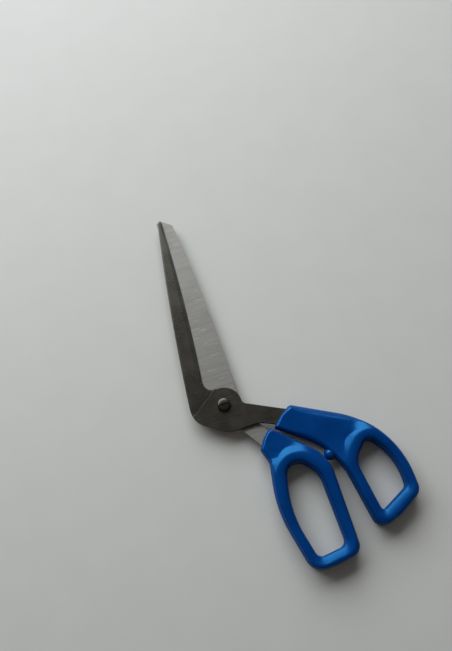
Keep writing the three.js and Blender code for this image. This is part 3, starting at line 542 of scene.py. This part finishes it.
NARROW_BORE_RADIUS = 0.00295

SPINE_LAND = 0.001
GRIND_HEEL = 0.003
GRIND_START = 0.0022
GRIND_SLOPE = 0.12
GRIND_LEAST = 0.00075
GRIND_FOOT = 0.02
GRIND_END = 0.985
NARROW_TIP_THICKNESS = 0.0009
NARROW_BEVEL = 0.0015

dark_steel = steel(
    "Dark satin steel",
    dark=colour(76, 74, 69),
    light=colour(81, 79, 74),
    # Edge colour: brush strokes, worn edges and a painted edge highlight.
    edge=colour(150, 150, 148),
    # Bevel colour: painted light on faces that lean sideways.
    bevel=colour(105, 105, 102),
    rough=0.3,
    line_depth=0.000004,
    lines=7000.0,
    stroke_share=0.04,
)

narrow_spine = bowed(NARROW_SPINE_TIP, NARROW_SPINE_HEEL, NARROW_SPINE_BOW)
grind_start = BOSS_TOP + (CHOIL - BOSS_TOP).normalized() * GRIND_START
narrow_back = rounded(
    [
        (*NARROW_EDGE_TIP, 0),
        (*NARROW_TIP, TIP_RADIUS / 2),
        (*NARROW_SPINE_TIP, TIP_RADIUS),
        *[(*place, 0) for place in narrow_spine[1:-2]],
        (*NARROW_SPINE_HEEL, NARROW_HEEL_RADIUS),
        (NARROW_BELLY_X, NARROW_BELLY_Y, NARROW_HEEL_RADIUS),
        (NARROW_SHANK_X, NARROW_BELLY_Y, SHANK_RADIUS),
        (*THUMB_TANG_END[0], TANG_RADIUS),
        (*THUMB_TANG_END[1], TANG_RADIUS),
        (*NECK, NECK_RADIUS),
        (BOSS_RADIUS, BOSS_RADIUS, BOSS_RADIUS),
        (*BOSS_TOP, 0),
        (*grind_start, 0),
    ],
    closed=False,
)
choil = rounded([(*grind_start, 0), (*CHOIL, CHOIL_RADIUS), (*NARROW_EDGE_HEEL, 0)], closed=False)
cutting = bowed(NARROW_EDGE_HEEL, NARROW_EDGE_TIP, NARROW_EDGE_BOW)

from_spine = left_of((NARROW_SPINE_HEEL - NARROW_SPINE_TIP).normalized())
beside_spine = [place + from_spine * SPINE_LAND for place in reversed(narrow_spine)]
grind_heel = beside_spine[0] + (beside_spine[-1] - beside_spine[0]).normalized() * GRIND_HEEL
grind_line = [grind_start, grind_heel]
foot_line = [choil[1], grind_heel.lerp(NARROW_EDGE_HEEL, GRIND_FOOT)]
grind_side = [grind_heel, *[place for place in beside_spine if place.y > grind_heel.y]]
past_line = left_of((grind_start - grind_heel).normalized())


def along(points, share):
    """The point at a share of the way along a run of points."""
    gaps = [(after - before).length for before, after in zip(points, points[1:])]
    runs = np.concatenate(([0], np.cumsum(gaps)))
    return Vector([np.interp(share * runs[-1], runs, values) for values in zip(*points)])


def narrow_thickness(place):
    """The plate's own thickness at the boss and shank, less and less beyond the slanted line."""
    share = (place - grind_start).dot(past_line) / (NARROW_EDGE_TIP - grind_start).dot(past_line)
    return float(np.interp(share, (0, 1), (BLADE_THICKNESS, NARROW_TIP_THICKNESS)))


def narrow_ground(place):
    """The thickness that the grind leaves, less and less towards the cutting edge."""
    width = max(0, (place - NARROW_SPINE_TIP).dot(from_spine) - SPINE_LAND)
    return max(GRIND_LEAST, narrow_thickness(place) - GRIND_SLOPE * width)


choil_shares = [k / (len(choil) - 1) for k in range(1, len(choil))]
cutting_shares = [k / (len(cutting) - 1) for k in range(1, len(cutting))]
narrow_sides = narrow_back[1:]
narrow_edge = [*choil[1:], *cutting[1:]]
narrow_ridge = [along(grind_line, share) for share in choil_shares]
narrow_ridge.extend(along(grind_side, share * GRIND_END) for share in cutting_shares)
blunt = len(choil_shares) - 1
narrow_bevels = grind_widths(narrow_sides, narrow_edge, NARROW_BEVEL)
narrow_bevels[:blunt] = EDGE_BREAK
narrow_crest = beside_edge(narrow_sides, narrow_edge, narrow_bevels)
narrow_faces = [narrow_ground(place) for place in narrow_crest]
narrow_lands = [face - EDGE_BREAK for face in narrow_faces[:blunt]]
narrow_lands.extend([EDGE_LAND] * (len(narrow_edge) - blunt))
narrow_foot = [along(foot_line, share) for share in choil_shares]
for ridge, crest in list(zip(narrow_ridge, narrow_crest))[len(choil_shares) :]:
    narrow_foot.append(ridge.lerp(crest, GRIND_FOOT))
narrow_foot_heights = [narrow_ground(place) for place in narrow_foot]
narrow_top = (narrow_ridge, [narrow_thickness(place) for place in narrow_ridge])
narrow_plate = ground_plate(
    back=narrow_sides,
    levels=[
        (narrow_edge, narrow_lands),
        *slopes((narrow_crest, narrow_faces), (narrow_foot, narrow_foot_heights)),
        narrow_top,
    ],
    thickness=narrow_thickness,
    inner_z=NARROW_INNER_Z,
    outwards=1,
)
lower_blade = to_object("lower_blade", narrow_plate)
narrow_low = NARROW_INNER_Z - CUT_MARGIN
narrow_high = NARROW_INNER_Z + BLADE_THICKNESS + CUT_MARGIN
bore(lower_blade, NARROW_BORE_RADIUS, narrow_low, narrow_high)
bore(lower_blade, ANCHOR_RADIUS, narrow_low, narrow_high, THUMB_ANCHOR)
shade(lower_blade, PLATE_SHARP)
fit(lower_blade, "narrow_blade", "lower_half", dark_steel)


# Pivot screw: a turned steel screw with a domed, slotted head on the narrow blade. Its plain
# shank carries both blades, and its end is flush with the nut.

SCREW_RADIUS = 0.0028
HEAD_RADIUS = 0.0044
HEAD_Z = 0.0097
HEAD_RIM = 0.0011
HEAD_DOME = 0.0013
SLOT_WIDTH = 0.0012
SLOT_DEPTH = 0.0013
TURNED_BREAK = 0.0002
TURNED_SIDES = 64
TURNED_SHARP = math.radians(35)
DOME_STEPS = 10
DOME_POWER = 0.72


def turned(profile, ring=False):
    """A mesh turned about Z from (radius, height) pairs; a ring's profile closes on itself."""
    mesh = bmesh.new()
    angles = [2 * math.pi * k / TURNED_SIDES for k in range(TURNED_SIDES)]
    loops = []
    for radius, height in profile:
        if radius == 0:
            loops.append([mesh.verts.new((0, 0, height))] * TURNED_SIDES)
            continue
        loops.append([mesh.verts.new((radius * math.cos(a), radius * math.sin(a), height)) for a in angles])
    pairs = list(zip(loops, loops[1:]))
    if ring:
        pairs.append((loops[-1], loops[0]))
    for low, high in pairs:
        for i in range(TURNED_SIDES):
            corners = dict.fromkeys((low[i - 1], low[i], high[i], high[i - 1]))
            mesh.faces.new(corners)
    bmesh.ops.recalc_face_normals(mesh, faces=mesh.faces)
    return mesh


def box(low, high):
    mesh = bmesh.new()
    sizes = [b - a for a, b in zip(low, high)]
    middle = [(a + b) / 2 for a, b in zip(low, high)]
    placing = Matrix.Translation(middle) @ Matrix.Diagonal((*sizes, 1))
    bmesh.ops.create_cube(mesh, size=1.0, matrix=placing)
    return mesh


fastener_steel = steel(
    "Turned fastener steel",
    dark=colour(58, 55, 50),
    light=colour(82, 78, 71),
    # Edge colour: turning marks, worn edges and a painted edge highlight.
    edge=colour(128, 123, 113),
    rough=0.27,
    line_depth=0.00001,
    lines=9000.0,
    stroke_share=0.1,
    on_lathe=True,
)

rim_top = HEAD_Z + HEAD_RIM
head_top = rim_top + HEAD_DOME
dome_angles = [k / DOME_STEPS * math.pi / 2 for k in range(DOME_STEPS)]
head_dome = [
    (HEAD_RADIUS * math.cos(a) ** DOME_POWER, rim_top + HEAD_DOME * math.sin(a) ** DOME_POWER)
    for a in dome_angles
]
screw_shape = turned(
    [
        (0, 0),
        (SCREW_RADIUS - TURNED_BREAK, 0),
        (SCREW_RADIUS, TURNED_BREAK),
        (SCREW_RADIUS, HEAD_Z),
        (HEAD_RADIUS - TURNED_BREAK, HEAD_Z),
        (HEAD_RADIUS, HEAD_Z + TURNED_BREAK),
        *head_dome,
        (0, head_top),
    ]
)
screw = to_object("screw", screw_shape)
slot_reach = HEAD_RADIUS + CUT_MARGIN
slot_low = (-slot_reach, -SLOT_WIDTH / 2, head_top - SLOT_DEPTH)
slot_high = (slot_reach, SLOT_WIDTH / 2, head_top + CUT_MARGIN)
combine(screw, box(slot_low, slot_high), "DIFFERENCE")
shade(screw, TURNED_SHARP)
fit(screw, "pivot_screw", "upper_half", fastener_steel)


# Spring washer: a thin dished ring of spring steel between the nut and the wide blade, which keeps
# the blades pressed together.

WASHER_RADIUS = 0.006
WASHER_BORE = 0.0031
WASHER_Z = 0.0035
WASHER_THICKNESS = 0.0005
WASHER_DISH = 0.0004

washer_top = WASHER_Z + WASHER_THICKNESS
washer_soft = TURNED_BREAK / 2
washer_shape = turned(
    [
        (WASHER_BORE, WASHER_Z),
        (WASHER_RADIUS - washer_soft, WASHER_Z + WASHER_DISH),
        (WASHER_RADIUS, WASHER_Z + WASHER_DISH + washer_soft),
        (WASHER_RADIUS, washer_top + WASHER_DISH - washer_soft),
        (WASHER_RADIUS - washer_soft, washer_top + WASHER_DISH),
        (WASHER_BORE, washer_top),
    ],
    ring=True,
)
washer = to_object("washer", washer_shape)
shade(washer, TURNED_SHARP)
fit(washer, "spring_washer", "upper_half", fastener_steel)


# Pivot nut: a thin hexagon nut of turned steel with chamfered corners, screwed onto the far end of
# the screw, where it holds the washer against the wide blade.

NUT_FLAT_RADIUS = 0.0045
NUT_HEIGHT = 0.0032
NUT_CHAMFER = 0.0007
NUT_BORE = 0.0031
NUT_SHARP = math.radians(25)
HEXAGON = 6

nut_corner_radius = NUT_FLAT_RADIUS / math.cos(math.pi / HEXAGON)
nut = to_object("nut", upright_bar(HEXAGON, nut_corner_radius, 0, NUT_HEIGHT))
outside = nut_corner_radius + NUT_CHAMFER
nut_chamfers = turned(
    [
        (0, 0),
        (nut_corner_radius - NUT_CHAMFER, 0),
        (outside, NUT_CHAMFER),
        (outside, NUT_HEIGHT + CUT_MARGIN),
        (0, NUT_HEIGHT + CUT_MARGIN),
    ]
)
combine(nut, nut_chamfers, "INTERSECT")
nut_bore = turned(
    [
        (0, -CUT_MARGIN),
        (NUT_BORE + TURNED_BREAK + CUT_MARGIN, -CUT_MARGIN),
        (NUT_BORE, TURNED_BREAK),
        (NUT_BORE, NUT_HEIGHT + CUT_MARGIN),
        (0, NUT_HEIGHT + CUT_MARGIN),
    ]
)
combine(nut, nut_bore, "DIFFERENCE")
shade(nut, NUT_SHARP)
fit(nut, "pivot_nut", "upper_half", fastener_steel)


# Finger handle: the longer loop, injection moulded in blue plastic onto the wide blade's tang.
# The loop is a rounded bar that rises out of a thinner, flat front block.

HANDLE_THICKNESS = 0.014
EDGE_ROUND = 0.0018
EDGE_RISE = 0.0037
LIP_FRONT = 0.0035
LIP_END = 0.0048
LIP_RISE = 0.005
LIP_SHARE = 0.9
LIP_SLOPE = 0.38
NOSE_FRONT = 0.8
NOSE_END = 0.2
CREST_FLAT = 0.0012
LOOP_REACH = 0.013
LOOP_LEAST = 0.0008
BLOCK_DROP = 0.0023
CREST_SHARE = 0.3
SLOPE_STEPS = 8
FLAT_LAND = 0.0003
ROUND_STEPS = 10
OUTLINE_STEP = 0.0012
EVEN_PASSES = 6
PARTING_HALF = 0.00018
PARTING_DEPTH = 0.0001
TANG_GAP = 0.00015
TANG_CUT = 0.045
HANDLE_SHARP = math.radians(40)

# Corners as x, y and radius.
FINGER_OUTLINE = [
    (0.02267, -0.02316, 0.0035),
    (0.01685, -0.02838, 0.014),
    (0.01255, -0.03490, 0.0027),
    (0.01551, -0.04417, 0.007),
    (0.00981, -0.07286, 0.080),
    (0.01856, -0.11611, 0.0105),
    (0.03464, -0.11572, 0.040),
    (0.05055, -0.11334, 0.007),
    (0.05185, -0.05190, 0.026),
]
FINGER_HOLE = [
    (0.02442, -0.05000, 0.008),
    (0.01730, -0.07662, 0.070),
    (0.02416, -0.10850, 0.0045),
    (0.04320, -0.10645, 0.0045),
    (0.04268, -0.05994, 0.016),
    (0.03401, -0.05000, 0.009),
]


def closely(points):
    """The points of a closed outline, with more between those that are far apart."""
    filled = []
    for start, end in zip(points, points[1:] + points[:1]):
        steps = max(1, math.ceil((end - start).length / OUTLINE_STEP))
        filled.extend(start.lerp(end, k / steps) for k in range(steps))
    return filled


def evened(values):
    """Values round a closed outline, with sudden steps smoothed away."""
    for _ in range(EVEN_PASSES):
        values = (np.roll(values, 1) + values + np.roll(values, -1)) / 3
    return values


def fallen(past):
    """How far a handle's face lies below the crest of its loop, at distances past the crest's flat."""
    shares = np.clip(np.array(past) / (LOOP_REACH - LIP_FRONT - CREST_FLAT), 0, 1)
    bent = np.minimum(shares, CREST_SHARE)
    straight = bent**2 / (2 * CREST_SHARE) + shares - bent
    return BLOCK_DROP * straight / (1 - CREST_SHARE / 2)


def moulded(outline_corners, hole_corners, edge_width):
    """A loop handle with rounded edges and a fine parting line at half height.

    The width of the rounding at a place of the outline comes from edge_width.
    """
    half = HANDLE_THICKNESS / 2
    outline = closely(rounded(outline_corners))
    hole = closely(rounded(hole_corners))
    edges = np.array([edge_width(place) for place in outline])
    distances = np.array([nearest(place, hole) for place in inset(outline, edges)])
    tops = HANDLE_THICKNESS - evened(fallen(distances - LIP_FRONT - CREST_FLAT))
    rooms = [min((place - other).length - edge for other, edge in zip(outline, edges)) for place in hole]
    reaches = evened(np.clip(np.array(rooms) - FLAT_LAND, LOOP_LEAST, LOOP_REACH))
    across = np.array([place.y for place in hole])
    towards_front = (across - across.min()) / (across.max() - across.min())
    lips = np.minimum(reaches * LIP_SHARE, LIP_END + (LIP_FRONT - LIP_END) * towards_front)
    noses = lips * (NOSE_END + (NOSE_FRONT - NOSE_END) * towards_front)
    lip_tops = HANDLE_THICKNESS - LIP_SLOPE * (lips - noses)
    flats = np.minimum((reaches - lips) / 2, CREST_FLAT)
    slopes_out = reaches - lips - flats
    quarter = [k / ROUND_STEPS * math.pi / 2 for k in range(ROUND_STEPS + 1)]

    def ring(line, amounts, heights):
        amounts = np.broadcast_to(amounts, len(line))
        heights = np.broadcast_to(heights, len(line))
        return [(*place, height) for place, height in zip(inset(line, amounts), heights)]

    def mirrored(upper):
        lower = [[(x, y, HANDLE_THICKNESS - z) for x, y, z in level] for level in upper]
        return [*lower[::-1], *upper]

    outer = [ring(outline, 0, half + PARTING_HALF)]
    for angle in quarter:
        outer.append(ring(outline, edges * (1 - math.cos(angle)), tops - EDGE_RISE * (1 - math.sin(angle))))
    outer = mirrored(outer)
    outer.insert(len(outer) // 2, ring(outline, PARTING_DEPTH, half))
    inner = []
    for angle in quarter:
        drops = (LIP_RISE - HANDLE_THICKNESS + lip_tops) * (1 - math.sin(angle))
        inner.append(ring(hole, -noses * (1 - math.cos(angle)), lip_tops - drops))
    inner.append(ring(hole, -lips, HANDLE_THICKNESS))
    for k in range(SLOPE_STEPS + 1):
        past = slopes_out * k / SLOPE_STEPS
        inner.append(ring(hole, -lips - flats - past, HANDLE_THICKNESS - fallen(past)))
    return lofted(outer, mirrored(inner))


def tang_room(tang_end, low, high):
    """The room that a tang takes in its handle, out through the front face."""
    right, left = (Vector(place) for place in tang_end)
    across = (left - right).normalized()
    inwards = Vector((across.y, -across.x))
    near_right = right - across * TANG_GAP + inwards * TANG_GAP
    near_left = left + across * TANG_GAP + inwards * TANG_GAP
    outline = rounded(
        [
            (*(near_right - inwards * TANG_CUT), 0),
            (*near_right, TANG_RADIUS),
            (*near_left, TANG_RADIUS),
            (*(near_left - inwards * TANG_CUT), 0),
        ]
    )
    return lofted([[(*place, height) for place in outline] for height in (low - TANG_GAP, high + TANG_GAP)])


# Grain that a sparked mould leaves on plastic.
GRAIN_SIZE = 0.00025
GRAIN_DETAIL = 2.0

mould_grain, given, put = shader_group("Mould grain", {"Size": GRAIN_SIZE}, ["Height"])
grains = sums(mould_grain, "DIVIDE", 1.0, given["Size"])
mould_grain.links.new(noise(mould_grain, given["Place"], grains, GRAIN_DETAIL), put["Height"])

PLASTIC_DEEP = colour(0, 45, 107)
PLASTIC_PALE = colour(1, 53, 120)
# Paler blue for edges: partly worn plastic, partly a painted edge highlight.
PLASTIC_WORN_AND_HIGHLIT = colour(10, 80, 150)
PLASTIC_GLINT = colour(70, 180, 255)
PLASTIC_GLOSS_LEVEL = 1.0
PLASTIC_ROUGHNESS = (0.19, 0.27)
PLASTIC_FLOW_PER_METRE = 60.0
PLASTIC_FLOW_DETAIL = 3.0
PLASTIC_EDGE_MARK_SHARE = 0.35
WALL_TILT = (0.7, 0.2)
WALL_ROUGHER = (0.0, 0.6)
GRAIN_DEPTH = 0.00002
GRAIN_RELIEF = 0.2

blue_plastic, plastic, plastic_shader = new_material("Blue moulded plastic")
plastic_shader["Specular Tint"].default_value = PLASTIC_GLINT
plastic_shader["Specular IOR Level"].default_value = PLASTIC_GLOSS_LEVEL
plastic_place = plastic.nodes.new("ShaderNodeTexCoord").outputs["Object"]
plastic_smears = effect(plastic, handling, {"Place": plastic_place})["Smear"]
plastic_edges = effect(plastic, worn_and_highlit_edges, {"Place": plastic_place})["Edge"]
plastic_grain = effect(plastic, mould_grain, {"Place": plastic_place})["Height"]
plastic_flow = noise(plastic, plastic_place, PLASTIC_FLOW_PER_METRE, PLASTIC_FLOW_DETAIL)
plastic_tone = spread(plastic, plastic_flow, NOISE_MIDDLE)
plastic_body = mixed(plastic, plastic_tone, PLASTIC_DEEP, PLASTIC_PALE)
# The edges turn a paler blue: partly worn, partly a painted edge highlight.
plastic_edge_marks = sums(plastic, "MULTIPLY", plastic_edges, PLASTIC_EDGE_MARK_SHARE)
plastic.links.new(mixed(plastic, plastic_edge_marks, plastic_body, PLASTIC_WORN_AND_HIGHLIT), plastic_shader["Base Color"])
plastic_facing = plastic.nodes.new("ShaderNodeNewGeometry").outputs["Normal"]
plastic_level = sums(plastic, "ABSOLUTE", part_of(plastic, plastic_facing, "Z"))
wall_rough = spread(plastic, plastic_level, WALL_TILT, WALL_ROUGHER)
smear_rough = spread(plastic, plastic_smears, ALL, PLASTIC_ROUGHNESS)
plastic.links.new(sums(plastic, "ADD", smear_rough, wall_rough), plastic_shader["Roughness"])
plastic_bumps = {"Height": plastic_grain, "Distance": GRAIN_DEPTH, "Strength": GRAIN_RELIEF}
plastic_relief = add_node(plastic, "ShaderNodeBump", plastic_bumps)
plastic.links.new(plastic_relief.outputs["Normal"], plastic_shader["Normal"])

finger_grip = to_object("finger_grip", moulded(FINGER_OUTLINE, FINGER_HOLE, lambda place: EDGE_ROUND))
finger_tang_room = tang_room(FINGER_TANG_END, WIDE_INNER_Z - BLADE_THICKNESS, WIDE_INNER_Z)
combine(finger_grip, finger_tang_room, "DIFFERENCE")
shade(finger_grip, HANDLE_SHARP)
fit(finger_grip, "finger_handle", "upper_half", blue_plastic)


# Thumb handle: the smaller loop, moulded in the same plastic onto the narrow blade's tang. A round
# stop stands out of its lower side and meets the finger handle when the scissors are closed.

THUMB_OUTLINE = [
    (0.03980, -0.01333, 0.003),
    (0.03205, -0.01801, 0.014),
    (0.02552, -0.02428, 0.0012),
    (0.05776, -0.04947, 0.050),
    (0.06566, -0.10550, 0.007),
    (0.08287, -0.10024, 0.040),
    (0.09829, -0.09097, 0.007),
    (0.09846, -0.04517, 0.060),
]
THUMB_HOLE = [
    (0.07898, -0.04880, 0.0055),
    (0.06720, -0.06058, 0.013),
    (0.07155, -0.09500, 0.002),
    (0.09114, -0.08530, 0.004),
    (0.09280, -0.06589, 0.050),
]
BACK_MIDDLE = Vector((0.05935, -0.02394))
BACK_ROUND = 0.007
BACK_REACH = 0.026
STOP_ROOT = Vector((0.05776, -0.04947))
STOP_TIP = Vector((0.04998, -0.05266))
STOP_RADIUS = 0.0040
STOP_FLARE = 0.0006


def thumb_edge_width(place):
    """Broadest in the middle of the back, where the hand's web lies."""
    share = min(1, (place - BACK_MIDDLE).length / BACK_REACH)
    return BACK_ROUND + (EDGE_ROUND - BACK_ROUND) * share**2


stop_line = (STOP_TIP - STOP_ROOT).to_3d()
stop_length = stop_line.length
stop_dome = [
    (STOP_RADIUS * math.cos(a), stop_length - STOP_RADIUS * (1 - math.sin(a))) for a in dome_angles
]
stop = turned(
    [
        (0, -STOP_RADIUS),
        (STOP_RADIUS + STOP_FLARE, -STOP_RADIUS),
        (STOP_RADIUS + STOP_FLARE / 2, STOP_FLARE),
        (STOP_RADIUS, STOP_FLARE * 2),
        *stop_dome,
        (0, stop_length),
    ]
)
stop_turn = stop_line.to_track_quat("Z", "Y").to_matrix().to_4x4()
stop_placing = Matrix.Translation((*STOP_ROOT, HANDLE_THICKNESS / 2)) @ stop_turn
bmesh.ops.transform(stop, matrix=stop_placing, verts=stop.verts)

thumb_grip = to_object("thumb_grip", moulded(THUMB_OUTLINE, THUMB_HOLE, thumb_edge_width))
combine(thumb_grip, stop, "UNION")
thumb_tang_room = tang_room(THUMB_TANG_END, NARROW_INNER_Z, NARROW_INNER_Z + BLADE_THICKNESS)
combine(thumb_grip, thumb_tang_room, "DIFFERENCE")
shade(thumb_grip, HANDLE_SHARP)
fit(thumb_grip, "thumb_handle", "lower_half", blue_plastic)


# Table and light: a pale matt table in a dim room, lit by one broad window beyond the blade tips.
# The room is a little paler overhead, and paler still low down beyond the tips.

TABLE_HALF = 2.0
TABLE_DEEP = colour(190, 190, 187)
TABLE_PALE = colour(196, 196, 193)
TABLE_TONES_PER_METRE = 40.0
TABLE_DETAIL = 3.0
TABLE_ROUGHNESS = 0.6
WINDOW_PLACE = Vector((-0.156, 1.066, 0.858))
WINDOW_SIZE = (1.69, 1.04)
WINDOW_WATTS = 27.0
WINDOW_COLOUR = (0.96, 1.0, 1.02)
LIGHT_TARGET = Vector((0.03, -0.01, 0))
ROOM_COLOUR = (1.05, 1.0, 0.92, 1.0)
ROOM_LEVELS = (0.055, 0.145)
OVERHEAD_SPAN = (0.3, 1.0)
FAR_WALL_LEVELS = (0.0, 0.65)
FAR_WALL_SPAN = (0.2, 0.6)
FAR_WALL_FADE = (0.65, 0.25)

table_mesh = bmesh.new()
bmesh.ops.create_grid(table_mesh, x_segments=1, y_segments=1, size=TABLE_HALF)
table = to_object("table", table_mesh)
table_top, table_tree, table_shader = new_material("Pale table")
table_shader["Roughness"].default_value = TABLE_ROUGHNESS
table_place = table_tree.nodes.new("ShaderNodeTexCoord").outputs["Object"]
table_tone = noise(table_tree, table_place, TABLE_TONES_PER_METRE, TABLE_DETAIL)
table_tree.links.new(mixed(table_tree, table_tone, TABLE_DEEP, TABLE_PALE), table_shader["Base Color"])
table.data.materials.append(table_top)

window_lamp = bpy.data.lights.new("window", "AREA")
window_lamp.shape = "RECTANGLE"
window_lamp.size, window_lamp.size_y = WINDOW_SIZE
window_lamp.energy = WINDOW_WATTS
window_lamp.color = WINDOW_COLOUR
window = bpy.data.objects.new("window", window_lamp)
window.location = WINDOW_PLACE
window.rotation_euler = (LIGHT_TARGET - WINDOW_PLACE).to_track_quat("-Z", "Y").to_euler()
bpy.context.scene.collection.objects.link(window)

room = bpy.data.worlds.new("Dim room")
room.use_nodes = True
room_tree = room.node_tree
room_light = room_tree.nodes["Background"].inputs
room_light["Color"].default_value = ROOM_COLOUR
towards = room_tree.nodes.new("ShaderNodeTexCoord").outputs["Generated"]
upwards = part_of(room_tree, towards, "Z")
overhead = spread(room_tree, upwards, OVERHEAD_SPAN, ROOM_LEVELS)
far_side = spread(room_tree, part_of(room_tree, towards, "Y"), FAR_WALL_SPAN, FAR_WALL_LEVELS)
far_wall = sums(room_tree, "MULTIPLY", far_side, spread(room_tree, upwards, FAR_WALL_FADE))
room_tree.links.new(sums(room_tree, "ADD", overhead, far_wall), room_light["Strength"])
bpy.context.scene.world = room


# Camera: at the photograph's angle, looking down on the scissors from the handle side. Its lens is
# given by its focal length in pixels of the photograph.

CAMERA_PLACE = (-0.03166, -0.09655, 0.51633)
CAMERA_AZIMUTH = math.radians(-18.88)
CAMERA_ELEVATION = math.radians(73)
FOCAL_PIXELS = 800
IMAGE_HEIGHT = 651
SENSOR = 36.0
NEAREST_SEEN = 0.01

flat_share = math.cos(CAMERA_ELEVATION)
looking = Vector(
    (
        -math.sin(CAMERA_AZIMUTH) * flat_share,
        math.cos(CAMERA_AZIMUTH) * flat_share,
        -math.sin(CAMERA_ELEVATION),
    )
)
camera_lens = bpy.data.cameras.new("camera")
camera_lens.sensor_width = SENSOR
camera_lens.lens = SENSOR * FOCAL_PIXELS / IMAGE_HEIGHT
camera_lens.clip_start = NEAREST_SEEN
camera = bpy.data.objects.new("camera", camera_lens)
camera.location = CAMERA_PLACE
camera.rotation_euler = looking.to_track_quat("-Z", "Y").to_euler()
bpy.context.scene.collection.objects.link(camera)
bpy.context.scene.camera = camera
bpy.context.scene.view_settings.view_transform = "Standard"
